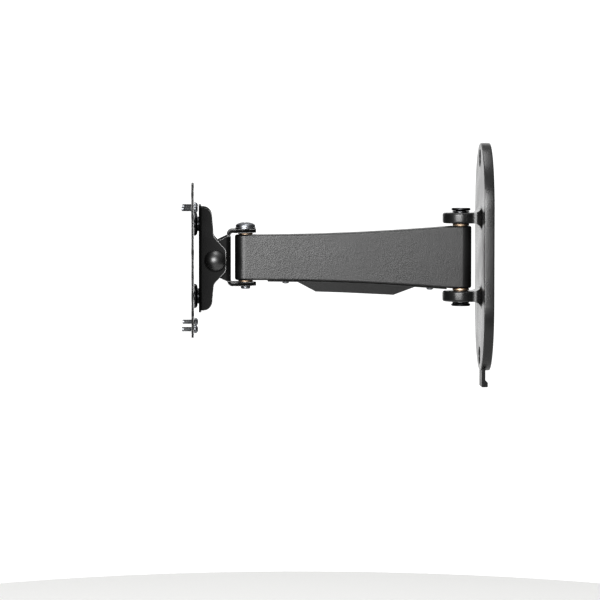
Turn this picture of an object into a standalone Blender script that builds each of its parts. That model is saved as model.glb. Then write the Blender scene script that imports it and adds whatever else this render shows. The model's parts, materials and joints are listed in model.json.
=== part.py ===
"""Full motion wall mount for a small flat screen.

The origin is the middle of the wall plate's back face, +Z is up and the wall is the plane y = 0.
The screen is on the -Y side. "out" is a distance from the wall, so a point's y is minus its out.
Lengths are in metres.

The mount is four rigid bodies in a chain: the wall plate, the arm, the knuckle and the tilting
head. The arm and the knuckle swivel on upright pins, and the head tilts on a level bolt.
"""

import math

import bmesh
import bpy
from mathutils import Matrix, Vector

# ---------------------------------------------------------------- shared sizes
GAP = 0.0003  # kept between two pieces that touch
OVERRUN = 0.002  # how far a cutter reaches past what it cuts
PIVOT_STEPS = 32
SCREW_STEPS = 20
DOME_STEPS = 6
FILLET_STEPS = 5
SLOT_END_STEPS = 10
ARC_STEP = math.radians(15)

# ---------------------------------------------------------------- wall plate
PLATE_HALF_WIDTH = 0.044
PLATE_STRAIGHT_HALF = 0.040  # half the height of its straight sides
PLATE_END_RISE = 0.057  # height of each half-elliptical end
PLATE_THICKNESS = 0.0085
PLATE_EDGE_ROUND = 0.0012
PLATE_END_STEPS = 20

LAG_HOLE_RISE = 0.084  # each lag screw hole above or below the middle
LAG_HOLE_RADIUS = 0.00375
LAG_SEAT_RADIUS = 0.00775
LAG_SEAT_DEPTH = 0.0035

WALL_PIVOT_OUT = 0.0246
EAR_THICKNESS = 0.009
EAR_END_RADIUS = 0.0157
EAR_END_STEPS = 10
EAR_FILLET = 0.006
EAR_ROOT_DEPTH = 0.003  # how far an ear's solid reaches into the plate

# ---------------------------------------------------------------- cable hook
HOOK_HALF_WIDTH = 0.011
HOOK_OUT = 0.0043  # its back face
HOOK_THICKNESS = 0.0031
HOOK_DROP = 0.0135  # how far it reaches below the plate
HOOK_TONGUE = 0.0065  # how far its tongue reaches up into the plate
HOOK_LIP_DEPTH = 0.0021
HOOK_LIP_HEIGHT = 0.006

# ---------------------------------------------------------------- arm
ARM_REACH = 0.1832  # wall pivot to head pivot
ARM_THICKNESS = 0.018
ARM_HEAD_HALF_HEIGHT = 0.0193
ARM_WALL_HALF_HEIGHT = 0.0264
ARM_CURVE_POWER = 1.9  # how late the arm's edges spread towards the wall
ARM_CURVE_STEPS = 14
ARM_END_STEPS = 16
ARM_SIDE_WALL = 0.0025
ARM_TOP_WALL = 0.003
POCKET_FROM_WALL_PIVOT = 0.036
POCKET_FROM_HEAD_PIVOT = 0.043

# ---------------------------------------------------------------- pivots of the arm
PIN_RADIUS = 0.0045
PIN_END_RADIUS = 0.003
PIN_HEAD_RADIUS = 0.0083
PIN_HEAD_THICKNESS = 0.0024
PIN_HEAD_CHAMFER = 0.0005
PIN_RIVET_HEIGHT = 0.0003
BUSH_WALL = 0.001
BUSH_LENGTH = 0.012
WALL_BUSH_FLANGE_RADIUS = 0.0070
WALL_BUSH_FLANGE = 0.0017
EAR_BUSH_FLANGE_RADIUS = 0.00725
EAR_BUSH_FLANGE = 0.001
EAR_BUSH_LENGTH = 0.008
BOLT_RADIUS = 0.004
BOLT_HEAD_RADIUS = 0.0083
BOLT_HEAD_HEIGHT = 0.0042
BOLT_HEAD_EDGE = 0.00105  # the straight part of its side
BOLT_CHAMFER = 0.0007
BOLT_TAIL = 0.0028  # how far the bolt shows below the lower ear
BOLT_WASHER_RADIUS = 0.0087
BOLT_WASHER_THICKNESS = 0.001
HEAD_BUSH_FLANGE_RADIUS = 0.0062
HEAD_BUSH_FLANGE = 0.001

# ---------------------------------------------------------------- cable cover
COVER_HALF_WIDTH = 0.0082
COVER_WALL = 0.0015
COVER_DEPTH = 0.0089  # from the arm's lower edge to the trough's underside
COVER_TAIL_THICKNESS = 0.0008
COVER_TAIL_HEAD_END = 0.0188  # from the head pivot
COVER_SLOPE_HEAD_START = 0.0440
COVER_FLOOR_HEAD_END = 0.0593
COVER_TAIL_WALL_END = 0.0125  # from the wall pivot
COVER_SLOPE_WALL_START = 0.0400
COVER_FLOOR_WALL_END = 0.0579
COVER_CABLE_HALF_WIDTH = 0.0045
COVER_STEPS = 6
COVER_SCREW_HEAD_RADIUS = 0.0028
COVER_SCREW_HEAD_HEIGHT = 0.0016
COVER_SCREW_DOME = 0.001  # the domed part of its head
COVER_SCREW_RADIUS = 0.0014
COVER_SCREW_LENGTH = 0.008
COVER_SCREW_FROM_WALL_PIVOT = 0.0264
COVER_SCREW_FROM_HEAD_PIVOT = 0.0341

# ---------------------------------------------------------------- knuckle
KNUCKLE_SHEET = 0.0031
KNUCKLE_END_RADIUS = 0.009
KNUCKLE_END_STEPS = 12
KNUCKLE_WEB_FROM_PIVOT = 0.0126
KNUCKLE_BEND = 0.0045  # outer radius of its bends
KNUCKLE_HALF_WIDTH = 0.0243
KNUCKLE_HALF_HEIGHT = 0.0190
KNUCKLE_DROP = 0.0006
KNUCKLE_EAR_ROOT_HALF = 0.0165  # half the width of its ears at the web
KNUCKLE_NOSE_RADIUS = 0.0104
KNUCKLE_NOSE_HALF_TURN = math.radians(60)
KNUCKLE_NOSE_STEPS = 8
KNUCKLE_SHOULDER_OUT = 0.0103  # from the web's near face to the flange's upper shoulder
KNUCKLE_SHOULDER_FALL = 0.0034

# ---------------------------------------------------------------- tilt joint
TILT_FROM_HEAD_PIVOT = 0.0261
TILT_DROP = 0.0017
TILT_BOLT_RADIUS = 0.003
TILT_BOLT_HEAD_RADIUS = 0.0055
TILT_BOLT_HEAD_HEIGHT = 0.004
TILT_NUT_RADIUS = 0.00577  # to its corners
TILT_NUT_HEIGHT = 0.0043
TILT_SPRING_WASHER_RADIUS = 0.0065
TILT_SPRING_WASHER_THICKNESS = 0.0009
TILT_WASHER_RADIUS = 0.0095
TILT_WASHER_THICKNESS = 0.001
TILT_SPACER_RADIUS = 0.006
TILT_CAP_RADIUS = 0.009
TILT_CAP_HEIGHT = 0.0096
TILT_CAP_WALL = 0.0008

# ---------------------------------------------------------------- tilt bracket
BRACKET_SHEET = 0.0021
BRACKET_FACE_OUT = 0.0135  # its front face, from the tilt axis
BRACKET_ABOVE = 0.0461  # above the tilt axis
BRACKET_BELOW = 0.0436
BRACKET_LIP = 0.0015  # how far the face stands past the flanges
BRACKET_CORNER = 0.008
BRACKET_BEND = 0.003
BRACKET_REAR_TOP = 0.0027  # the flanges' rear edge, out from the tilt axis, at their ends
BRACKET_REAR_MIDDLE = 0.0009
BRACKET_WAIST = 0.0200  # where the rear edge meets the slope, above and below the tilt axis
BRACKET_TIP = 0.0093  # the ears' tips, back from the tilt axis
BRACKET_TIP_HALF = 0.0088
BRACKET_TIP_ROUND = 0.004
BRACKET_WAIST_ROUND = 0.007

# ---------------------------------------------------------------- screen plate
ADAPTER_SIZE = 0.127
ADAPTER_THICKNESS = 0.002
ADAPTER_CORNER = 0.006
ADAPTER_RISE = 0.0006  # its middle above the tilt axis
ADAPTER_STANDOFF = 0.0042
PATTERN_DROP = 0.0062  # middle of the screen screw patterns, below the tilt axis
PATTERN_LARGE = 0.100
PATTERN_SMALL = 0.075
SCREEN_HOLE_RADIUS = 0.00275
STUD_HALF_SPREAD = 0.014
STUD_ABOVE = 0.0301
STUD_BELOW = 0.0311
STUD_NECK_RADIUS = 0.00575
STUD_BASE_RADIUS = 0.00965
STUD_BASE_EDGE = 0.0009
STUD_SHOULDER_RADIUS = 0.0064
STUD_SHOULDER_HEIGHT = 0.0031
STUD_HEAD_RADIUS = 0.0075
STUD_HEAD_HEIGHT = 0.002
STUD_RIVET_RADIUS = 0.003
STUD_SHOULDER_STEPS = 4
STUD_CHAMFER = 0.0008
STUD_STEPS = 24
ENTRY_RADIUS = 0.0082
ENTRY_RISE = 0.0135  # from a lower stud up to the hole that it enters by
SCREEN_SCREW_RADIUS = 0.002
SCREEN_SCREW_LENGTH = 0.008  # past the plate
SCREEN_SCREW_HEAD_RADIUS = 0.0034
SCREEN_SCREW_HEAD_HEIGHT = 0.0033
SCREW_HEAD_EDGE = 0.0012  # the straight part of a pan head's side
SCREW_DOME_STEPS = 4

# ---------------------------------------------------------------- places worked out from the sizes
PLATE_HALF_HEIGHT = PLATE_STRAIGHT_HALF + PLATE_END_RISE
ARM_END_RADIUS = ARM_THICKNESS / 2
HEAD_PIVOT_OUT = WALL_PIVOT_OUT + ARM_REACH
EAR_INNER = ARM_WALL_HALF_HEIGHT + WALL_BUSH_FLANGE + 2 * GAP
EAR_OUTER = EAR_INNER + EAR_THICKNESS
PIN_SEAT = EAR_OUTER + EAR_BUSH_FLANGE + 2 * GAP
WALL_SLEEVE_RADIUS = PIN_RADIUS + GAP + BUSH_WALL
HEAD_SLEEVE_RADIUS = BOLT_RADIUS + GAP + BUSH_WALL
KNUCKLE_EAR_INNER = ARM_HEAD_HALF_HEIGHT + HEAD_BUSH_FLANGE + 2 * GAP
KNUCKLE_EAR_OUTER = KNUCKLE_EAR_INNER + KNUCKLE_SHEET
WEB_OUT = HEAD_PIVOT_OUT + KNUCKLE_WEB_FROM_PIVOT
TILT_OUT = HEAD_PIVOT_OUT + TILT_FROM_HEAD_PIVOT
TILT_Z = -TILT_DROP
BRACKET_INNER = KNUCKLE_HALF_WIDTH + TILT_WASHER_THICKNESS + 2 * GAP
BRACKET_HALF_WIDTH = BRACKET_INNER + BRACKET_SHEET
BRACKET_FRONT = TILT_OUT + BRACKET_FACE_OUT
BRACKET_BACK = BRACKET_FRONT - BRACKET_SHEET
ADAPTER_BACK = BRACKET_FRONT + ADAPTER_STANDOFF
ADAPTER_FRONT = ADAPTER_BACK + ADAPTER_THICKNESS
PATTERN_Z = TILT_Z - PATTERN_DROP
STUD_TOP_Z = TILT_Z + STUD_ABOVE
STUD_BOTTOM_Z = TILT_Z - STUD_BELOW
STUD_SLOT_RADIUS = STUD_NECK_RADIUS + GAP

UP = Vector((0, 0, 1))
DOWN = Vector((0, 0, -1))
RIGHT = Vector((1, 0, 0))
LEFT = Vector((-1, 0, 0))
TO_WALL = Vector((0, 1, 0))

# ---------------------------------------------------------------- finishes: colour, metallic, roughness
POWDER_COAT = ((0.030, 0.030, 0.032), 0.0, 0.42)
BLACK_PLASTIC = ((0.022, 0.022, 0.023), 0.0, 0.50)
BLACKED_STEEL = ((0.095, 0.100, 0.110), 1.0, 0.36)
BRONZE = ((0.520, 0.360, 0.200), 1.0, 0.38)
BRIGHT_STEEL = ((0.560, 0.560, 0.560), 1.0, 0.30)
NYLON = ((0.700, 0.690, 0.650), 0.0, 0.45)


# ---------------------------------------------------------------- scene and helpers
def clear_scene():
    for old in list(bpy.data.objects):
        bpy.data.objects.remove(old, do_unlink=True)


def new_collection(name):
    collection = bpy.data.collections.new(name)
    bpy.context.scene.collection.children.link(collection)
    return collection


def out_point(x, out, z):
    """World point from a sideways place, a distance from the wall and a height."""
    return Vector((x, -out, z))


def arc(x, y, radius, start, end, steps):
    """Points of an arc, both ends included, with its angles in radians."""
    angles = [start + (end - start) * index / steps for index in range(steps + 1)]
    return [(x + radius * math.cos(angle), y + radius * math.sin(angle)) for angle in angles]


def circle(x, y, radius, steps):
    return arc(x, y, radius, 0, math.tau, steps)[:-1]


def dome(radius, height, base, steps):
    """Profile of a dome, a quarter of an ellipse from its crown to its rim."""
    angles = [math.pi / 2 * index / steps for index in range(steps + 1)]
    return [(radius * math.sin(angle), base + height * math.cos(angle)) for angle in angles]


def rounded_outline(corners):
    """Closed outline from (x, y, radius) corners, each rounded to its own radius."""
    points = []
    for index, (x, y, radius) in enumerate(corners):
        if radius == 0:
            points.append((x, y))
            continue
        corner = Vector((x, y))
        before = (Vector(corners[index - 1][:2]) - corner).normalized()
        after = (Vector(corners[(index + 1) % len(corners)][:2]) - corner).normalized()
        half_angle = before.angle(after) / 2
        reach = radius / math.tan(half_angle)
        centre = corner + (before + after).normalized() * radius / math.sin(half_angle)
        first = corner + before * reach - centre
        last = corner + after * reach - centre
        start = math.atan2(first.y, first.x)
        turn = math.remainder(math.atan2(last.y, last.x) - start, math.tau)
        steps = max(2, round(abs(turn) / ARC_STEP))
        points += arc(centre.x, centre.y, radius, start, start + turn, steps)
    return points


# Each facing turns the plane that an outline is drawn in into the world.
FACINGS = {
    "side": Matrix(((0, 0, 1, 0), (1, 0, 0, 0), (0, 1, 0, 0), (0, 0, 0, 1))),
    "plan": Matrix.Identity(4),
    "front": Matrix(((1, 0, 0, 0), (0, 0, -1, 0), (0, 1, 0, 0), (0, 0, 0, 1))),
}


def drawn_point(facing, first, second):
    """An outline's point in the curve's own plane.

    A side outline is (out, height), a plan outline (sideways, out), a front one (sideways, height).
    """
    if facing == "side":
        return (-first, second, 0, 1)
    if facing == "plan":
        return (first, -second, 0, 1)
    return (first, second, 0, 1)


def prism(name, outlines, facing, low, high):
    """Mesh object that fills the outlines from low to high, along X, Z or out from the wall."""
    curve = bpy.data.curves.new(name, "CURVE")
    curve.dimensions = "2D"
    curve.fill_mode = "BOTH"
    curve.extrude = (high - low) / 2
    for outline in outlines:
        spline = curve.splines.new("POLY")
        spline.points.add(len(outline) - 1)
        spline.use_cyclic_u = True
        for point, (first, second) in zip(spline.points, outline):
            point.co = drawn_point(facing, first, second)
    guide = bpy.data.objects.new(name + "_guide", curve)
    parts.objects.link(guide)
    guide.matrix_world = FACINGS[facing] @ Matrix.Translation((0, 0, (low + high) / 2))
    bpy.context.view_layer.update()
    evaluated = guide.evaluated_get(bpy.context.evaluated_depsgraph_get())
    mesh = bpy.data.meshes.new_from_object(evaluated)
    piece = bpy.data.objects.new(name, mesh)
    piece.matrix_world = guide.matrix_world.copy()
    bpy.data.objects.remove(guide, do_unlink=True)
    parts.objects.link(piece)
    tidy_mesh(mesh)
    return piece


def tidy_mesh(mesh):
    """Welds a curve's caps, merges their flat triangles, and shades the round stretches smooth."""
    work = bmesh.new()
    work.from_mesh(mesh)
    bmesh.ops.remove_doubles(work, verts=work.verts, dist=0.000001)
    bmesh.ops.dissolve_limit(
        work, angle_limit=math.radians(0.1), verts=work.verts, edges=work.edges
    )
    bmesh.ops.recalc_face_normals(work, faces=work.faces)
    work.to_mesh(mesh)
    work.free()
    mesh.shade_smooth()
    mesh.set_sharp_from_angle(angle=math.radians(35))


def turned(name, profile, place, direction, steps=PIVOT_STEPS):
    """Turned mesh object. The profile is (radius, height) from the top down its outer side.

    A profile that starts off the axis is a ring, and closes on itself.
    """
    edges = [(index, index + 1) for index in range(len(profile) - 1)]
    if profile[0][0] > 0:
        edges.append((len(profile) - 1, 0))
    line = bpy.data.meshes.new(name)
    line.from_pydata([(radius, 0, height) for radius, height in profile], edges, [])
    piece = bpy.data.objects.new(name, line)
    parts.objects.link(piece)
    screw = piece.modifiers.new("turn", "SCREW")
    screw.steps = steps
    screw.render_steps = steps
    screw.use_merge_vertices = True
    screw.merge_threshold = 0.00001
    bpy.context.view_layer.update()
    evaluated = piece.evaluated_get(bpy.context.evaluated_depsgraph_get())
    solid = bpy.data.meshes.new_from_object(evaluated)
    piece.modifiers.clear()
    piece.data = solid
    bpy.data.meshes.remove(line)
    solid.shade_smooth()
    solid.set_sharp_from_angle(angle=math.radians(35))
    piece.rotation_mode = "QUATERNION"
    piece.rotation_quaternion = UP.rotation_difference(direction)
    piece.location = place
    return piece


def set_aside(helper):
    """Moves a helper solid to the cutters, where it is drawn as wire and never rendered."""
    parts.objects.unlink(helper)
    cutters.objects.link(helper)
    helper.hide_render = True
    helper.display_type = "WIRE"


def combine(piece, helper, operation):
    modifier = piece.modifiers.new(helper.name, "BOOLEAN")
    modifier.operation = operation
    modifier.object = helper
    set_aside(helper)


def cut(piece, helper):
    combine(piece, helper, "DIFFERENCE")


def join(piece, helper):
    combine(piece, helper, "UNION")


def keep_common(piece, helper):
    combine(piece, helper, "INTERSECT")


def drill(piece, name, place, direction, radius, depth, steps=PIVOT_STEPS):
    """Drills a hole that starts OVERRUN before the place and goes depth past it, against direction."""
    profile = [(0, OVERRUN), (radius, OVERRUN), (radius, -depth), (0, -depth)]
    cut(piece, turned(name, profile, place, direction, steps))


def finish(piece, look):
    """Gives the piece a material of its own."""
    colour, metallic, roughness = look
    material = bpy.data.materials.new(piece.name)
    material.use_nodes = True
    shader = material.node_tree.nodes["Principled BSDF"]
    shader.inputs["Base Color"].default_value = (*colour, 1)
    shader.inputs["Metallic"].default_value = metallic
    shader.inputs["Roughness"].default_value = roughness
    piece.data.materials.clear()
    piece.data.materials.append(material)
    return piece


def put_on_axis(name, place, pieces, parent=None):
    """Parents a body's pieces to an empty on its joint's axis, where they are."""
    axis = bpy.data.objects.new(name, None)
    parts.objects.link(axis)
    axis.location = place
    if parent:
        axis.parent = parent
        axis.matrix_parent_inverse = Matrix.Translation(-parent.matrix_world.translation)
    bpy.context.view_layer.update()
    for piece in pieces:
        piece.parent = axis
        piece.matrix_parent_inverse = axis.matrix_world.inverted()
    return axis


# ---------------------------------------------------------------- wall plate
def plate_outline():
    """Straight sides between two half-ellipses, from the top down the +X side."""
    upper = [
        (PLATE_HALF_WIDTH * math.sin(angle), PLATE_STRAIGHT_HALF + PLATE_END_RISE * math.cos(angle))
        for angle in [math.pi * index / PLATE_END_STEPS for index in range(PLATE_END_STEPS // 2 + 1)]
    ]
    lower = [(x, -z) for x, z in reversed(upper)]
    right = upper + lower
    left = [(-x, z) for x, z in reversed(right[1:-1])]
    return right + left


def ear_solid(name, middle_z):
    """An ear with a round end, spreading in a fillet where it meets the plate."""
    root = PLATE_THICKNESS - EAR_ROOT_DEPTH
    fillet_out = PLATE_THICKNESS + EAR_FILLET
    quarter = math.pi / 2
    # The round end runs on past the pin into a waist, where it meets the fillets tangentially.
    from_pin = WALL_PIVOT_OUT - fillet_out
    spread = math.sqrt((EAR_END_RADIUS + EAR_FILLET) ** 2 - from_pin ** 2)
    waist = math.atan2(from_pin, spread)
    half = [(spread, root)]
    half += arc(spread, fillet_out, EAR_FILLET, -quarter, -math.pi - waist, EAR_END_STEPS)
    half += arc(0, WALL_PIVOT_OUT, EAR_END_RADIUS, -waist, quarter, EAR_END_STEPS)[1:]
    left = [(-x, out) for x, out in reversed(half[:-1])]
    reach = EAR_THICKNESS / 2 + EAR_FILLET
    low = middle_z - reach - OVERRUN
    high = middle_z + reach + OVERRUN
    ear = prism(name, [half + left], "plan", low, high)

    tip = WALL_PIVOT_OUT + EAR_END_RADIUS + OVERRUN
    rise = [(root - OVERRUN, reach), (root, reach)]
    rise += arc(fillet_out, reach, EAR_FILLET, math.pi, 3 * quarter, FILLET_STEPS)
    rise += [(tip, EAR_THICKNESS / 2)]
    fall = [(out, -height) for out, height in reversed(rise)]
    shape = [(out, middle_z + height) for out, height in rise + fall]
    width = EAR_END_RADIUS + EAR_FILLET + OVERRUN
    keep_common(ear, prism(name + "_side", [shape], "side", -width, width))
    return ear


def make_wall_plate():
    plate = prism("wall_plate", [plate_outline()], "front", 0, PLATE_THICKNESS)
    edge = plate.modifiers.new("rounded rim", "BEVEL")
    edge.width = PLATE_EDGE_ROUND
    edge.segments = 2
    edge.limit_method = "ANGLE"
    edge.angle_limit = math.radians(60)
    middle_z = (EAR_INNER + EAR_OUTER) / 2
    for side, name in ((1, "upper_ear"), (-1, "lower_ear")):
        join(plate, ear_solid(name, side * middle_z))
        place = out_point(0, WALL_PIVOT_OUT, side * EAR_OUTER)
        direction = UP if side > 0 else DOWN
        drill(plate, name + "_bore", place, direction, WALL_SLEEVE_RADIUS + GAP, EAR_THICKNESS + OVERRUN)
    stepped_hole = [
        (0, OVERRUN),
        (LAG_SEAT_RADIUS, OVERRUN),
        (LAG_SEAT_RADIUS, -LAG_SEAT_DEPTH),
        (LAG_HOLE_RADIUS, -LAG_SEAT_DEPTH),
        (LAG_HOLE_RADIUS, -PLATE_THICKNESS - OVERRUN),
        (0, -PLATE_THICKNESS - OVERRUN),
    ]
    for side, name in ((1, "upper_lag_hole"), (-1, "lower_lag_hole")):
        place = out_point(0, PLATE_THICKNESS, side * LAG_HOLE_RISE)
        cut(plate, turned(name, stepped_hole, place, -TO_WALL, 24))
    half = HOOK_HALF_WIDTH + GAP
    top = -PLATE_HALF_HEIGHT + HOOK_TONGUE + GAP
    bottom = -PLATE_HALF_HEIGHT - OVERRUN
    slot = [(half, top), (half, bottom), (-half, bottom), (-half, top)]
    front = HOOK_OUT + HOOK_THICKNESS + GAP
    cut(plate, prism("hook_slot", [slot], "front", HOOK_OUT - GAP, front))
    return finish(plate, POWDER_COAT)


def make_cable_hook():
    front = HOOK_OUT + HOOK_THICKNESS
    top = -PLATE_HALF_HEIGHT + HOOK_TONGUE
    bottom = -PLATE_HALF_HEIGHT - HOOK_DROP
    lip_out = HOOK_OUT - HOOK_LIP_DEPTH
    lip_top = bottom + HOOK_LIP_HEIGHT
    outline = rounded_outline([
        (front, top, 0),
        (front, bottom, 0),
        (lip_out, bottom, 0.0008),
        (lip_out, lip_top - HOOK_LIP_DEPTH, 0.001),
        (HOOK_OUT, lip_top, 0),
        (HOOK_OUT, top, 0),
    ])
    hook = prism("cable_hook", [outline], "side", -HOOK_HALF_WIDTH, HOOK_HALF_WIDTH)
    return finish(hook, BLACK_PLASTIC)


def make_wall_pin():
    """The pin hangs by its head, and its lower end is riveted over the collar."""
    top = PIN_SEAT + PIN_HEAD_THICKNESS
    bottom = -top - PIN_RIVET_HEIGHT
    shoulder = -PIN_SEAT + GAP
    profile = [
        (0, top),
        (PIN_HEAD_RADIUS - PIN_HEAD_CHAMFER, top),
        (PIN_HEAD_RADIUS, top - PIN_HEAD_CHAMFER),
        (PIN_HEAD_RADIUS, PIN_SEAT),
        (PIN_RADIUS, PIN_SEAT),
        (PIN_RADIUS, shoulder),
        (PIN_END_RADIUS, shoulder),
        (PIN_END_RADIUS, bottom),
        (0, bottom),
    ]
    pin = turned("wall_pivot_pin", profile, out_point(0, WALL_PIVOT_OUT, 0), UP)
    return finish(pin, BLACKED_STEEL)


def make_pin_collar():
    bore = PIN_END_RADIUS + GAP
    profile = [
        (bore, PIN_HEAD_THICKNESS),
        (PIN_HEAD_RADIUS - PIN_HEAD_CHAMFER, PIN_HEAD_THICKNESS),
        (PIN_HEAD_RADIUS, PIN_HEAD_THICKNESS - PIN_HEAD_CHAMFER),
        (PIN_HEAD_RADIUS, 0),
        (bore, 0),
    ]
    place = out_point(0, WALL_PIVOT_OUT, -PIN_SEAT)
    return finish(turned("wall_pin_collar", profile, place, DOWN), BLACKED_STEEL)


def flanged_bush(name, place, direction, bore, sleeve, flange_radius, flange, length, look):
    """Bush whose flange lies on the face at place, and whose sleeve goes into it."""
    profile = [
        (bore, GAP + flange),
        (flange_radius, GAP + flange),
        (flange_radius, GAP),
        (sleeve, GAP),
        (sleeve, -length),
        (bore, -length),
    ]
    return finish(turned(name, profile, place, direction), look)


def ear_bush(name, side, direction):
    place = out_point(0, WALL_PIVOT_OUT, side * EAR_OUTER)
    return flanged_bush(
        name, place, direction, PIN_RADIUS + GAP, WALL_SLEEVE_RADIUS,
        EAR_BUSH_FLANGE_RADIUS, EAR_BUSH_FLANGE, EAR_BUSH_LENGTH, BLACKED_STEEL,
    )


def wall_bush(name, side, direction):
    place = out_point(0, WALL_PIVOT_OUT, side * ARM_WALL_HALF_HEIGHT)
    return flanged_bush(
        name, place, direction, PIN_RADIUS + GAP, WALL_SLEEVE_RADIUS,
        WALL_BUSH_FLANGE_RADIUS, WALL_BUSH_FLANGE, BUSH_LENGTH, BRONZE,
    )


def head_bush(name, side, direction):
    place = out_point(0, HEAD_PIVOT_OUT, side * ARM_HEAD_HALF_HEIGHT)
    return flanged_bush(
        name, place, direction, BOLT_RADIUS + GAP, HEAD_SLEEVE_RADIUS,
        HEAD_BUSH_FLANGE_RADIUS, HEAD_BUSH_FLANGE, BUSH_LENGTH, BRONZE,
    )


# ---------------------------------------------------------------- arm
def arm_half_height(out):
    """Half the arm's height at a distance from the wall: level at the head, spreading to the wall.

    The edges are level over the round boss at each end, so that the bushes sit on flat faces.
    """
    run = ARM_REACH - 2 * ARM_END_RADIUS
    share = (HEAD_PIVOT_OUT - ARM_END_RADIUS - out) / run
    share = min(1, max(0, share))
    return ARM_HEAD_HALF_HEIGHT + (ARM_WALL_HALF_HEIGHT - ARM_HEAD_HALF_HEIGHT) * share**ARM_CURVE_POWER


def spaced(first, last, steps):
    return [first + (last - first) * index / steps for index in range(steps + 1)]


def arm_edge(first, last, steps, offset):
    """Points along the arm's upper edge, offset upwards."""
    return [(out, arm_half_height(out) + offset) for out in spaced(first, last, steps)]


def make_arm_body():
    wall_end = WALL_PIVOT_OUT - ARM_END_RADIUS
    head_end = HEAD_PIVOT_OUT + ARM_END_RADIUS
    wall_boss = WALL_PIVOT_OUT + ARM_END_RADIUS
    head_boss = HEAD_PIVOT_OUT - ARM_END_RADIUS
    upper = [(wall_end - OVERRUN, ARM_WALL_HALF_HEIGHT)]
    upper += arm_edge(wall_boss, head_boss, ARM_CURVE_STEPS, 0)
    upper += [(head_end + OVERRUN, ARM_HEAD_HALF_HEIGHT)]
    lower = [(out, -height) for out, height in reversed(upper)]
    width = ARM_END_RADIUS + OVERRUN
    arm = prism("arm_body", [upper + lower], "side", -width, width)

    quarter = math.pi / 2
    ends = arc(0, HEAD_PIVOT_OUT, ARM_END_RADIUS, 0, 2 * quarter, ARM_END_STEPS)
    ends += arc(0, WALL_PIVOT_OUT, ARM_END_RADIUS, 2 * quarter, 4 * quarter, ARM_END_STEPS)
    tall = ARM_WALL_HALF_HEIGHT + OVERRUN
    keep_common(arm, prism("arm_plan", [ends], "plan", -tall, tall))

    first = WALL_PIVOT_OUT + POCKET_FROM_WALL_PIVOT
    last = HEAD_PIVOT_OUT - POCKET_FROM_HEAD_PIVOT
    ceiling = arm_edge(first, last, ARM_CURVE_STEPS, -ARM_TOP_WALL)
    below = -ARM_WALL_HALF_HEIGHT - OVERRUN
    pocket_half = ARM_END_RADIUS - ARM_SIDE_WALL
    pocket = ceiling + [(last, below), (first, below)]
    cut(arm, prism("arm_pocket", [pocket], "side", -pocket_half, pocket_half))

    wall_top = out_point(0, WALL_PIVOT_OUT, ARM_WALL_HALF_HEIGHT)
    wall_depth = 2 * ARM_WALL_HALF_HEIGHT + OVERRUN
    drill(arm, "arm_wall_bore", wall_top, UP, WALL_SLEEVE_RADIUS + GAP, wall_depth)
    head_top = out_point(0, HEAD_PIVOT_OUT, ARM_HEAD_HALF_HEIGHT)
    head_depth = 2 * ARM_HEAD_HALF_HEIGHT + OVERRUN
    drill(arm, "arm_head_bore", head_top, UP, HEAD_SLEEVE_RADIUS + GAP, head_depth)
    for name, out in cover_screw_places():
        place = out_point(0, out, -arm_half_height(out))
        radius = COVER_SCREW_RADIUS + GAP
        drill(arm, name + "_hole", place, DOWN, radius, COVER_SCREW_LENGTH + GAP, SCREW_STEPS)
    return finish(arm, POWDER_COAT)


# ---------------------------------------------------------------- cable cover
def cover_screw_places():
    return (
        ("cover_screw_wall", WALL_PIVOT_OUT + COVER_SCREW_FROM_WALL_PIVOT),
        ("cover_screw_head", HEAD_PIVOT_OUT - COVER_SCREW_FROM_HEAD_PIVOT),
    )


def under_arm(first, last, steps, depth):
    """Points a depth below the arm's lower edge."""
    return [(out, -arm_half_height(out) - depth) for out in spaced(first, last, steps)]


def make_cable_cover():
    tail_wall = WALL_PIVOT_OUT + COVER_TAIL_WALL_END
    slope_wall = WALL_PIVOT_OUT + COVER_SLOPE_WALL_START
    floor_wall = WALL_PIVOT_OUT + COVER_FLOOR_WALL_END
    floor_head = HEAD_PIVOT_OUT - COVER_FLOOR_HEAD_END
    slope_head = HEAD_PIVOT_OUT - COVER_SLOPE_HEAD_START
    tail_head = HEAD_PIVOT_OUT - COVER_TAIL_HEAD_END
    tail = GAP + COVER_TAIL_THICKNESS
    outline = under_arm(tail_wall, tail_head, 3 * COVER_STEPS, GAP)
    outline += under_arm(tail_head, slope_head, 2, tail)
    outline += under_arm(floor_head, floor_wall, COVER_STEPS, COVER_DEPTH)
    outline += under_arm(slope_wall, tail_wall, 4, tail)
    cover = prism("cable_cover", [outline], "side", -COVER_HALF_WIDTH, COVER_HALF_WIDTH)

    inner_half = COVER_HALF_WIDTH - COVER_WALL
    floor_depth = COVER_DEPTH - COVER_WALL
    inside = under_arm(slope_wall + COVER_WALL, slope_head - COVER_WALL, 2 * COVER_STEPS, -OVERRUN)
    inside += under_arm(floor_head - COVER_WALL / 2, floor_wall + COVER_WALL / 2, COVER_STEPS, floor_depth)
    cut(cover, prism("cover_inside", [inside], "side", -inner_half, inner_half))

    cable_half = COVER_CABLE_HALF_WIDTH
    for name, start, end in (
        ("cable_way_wall", slope_wall + COVER_WALL, floor_wall),
        ("cable_way_head", slope_head - COVER_WALL, floor_head),
    ):
        way = under_arm(start, end, 2, COVER_WALL)
        way += under_arm(end, start, 2, COVER_DEPTH + OVERRUN)
        cut(cover, prism(name, [way], "side", -cable_half, cable_half))
    for name, out in cover_screw_places():
        place = out_point(0, out, -arm_half_height(out) - tail)
        drill(cover, name + "_clearance", place, DOWN, COVER_SCREW_RADIUS + GAP, OVERRUN * 2, SCREW_STEPS)
    return finish(cover, BLACK_PLASTIC)


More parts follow.
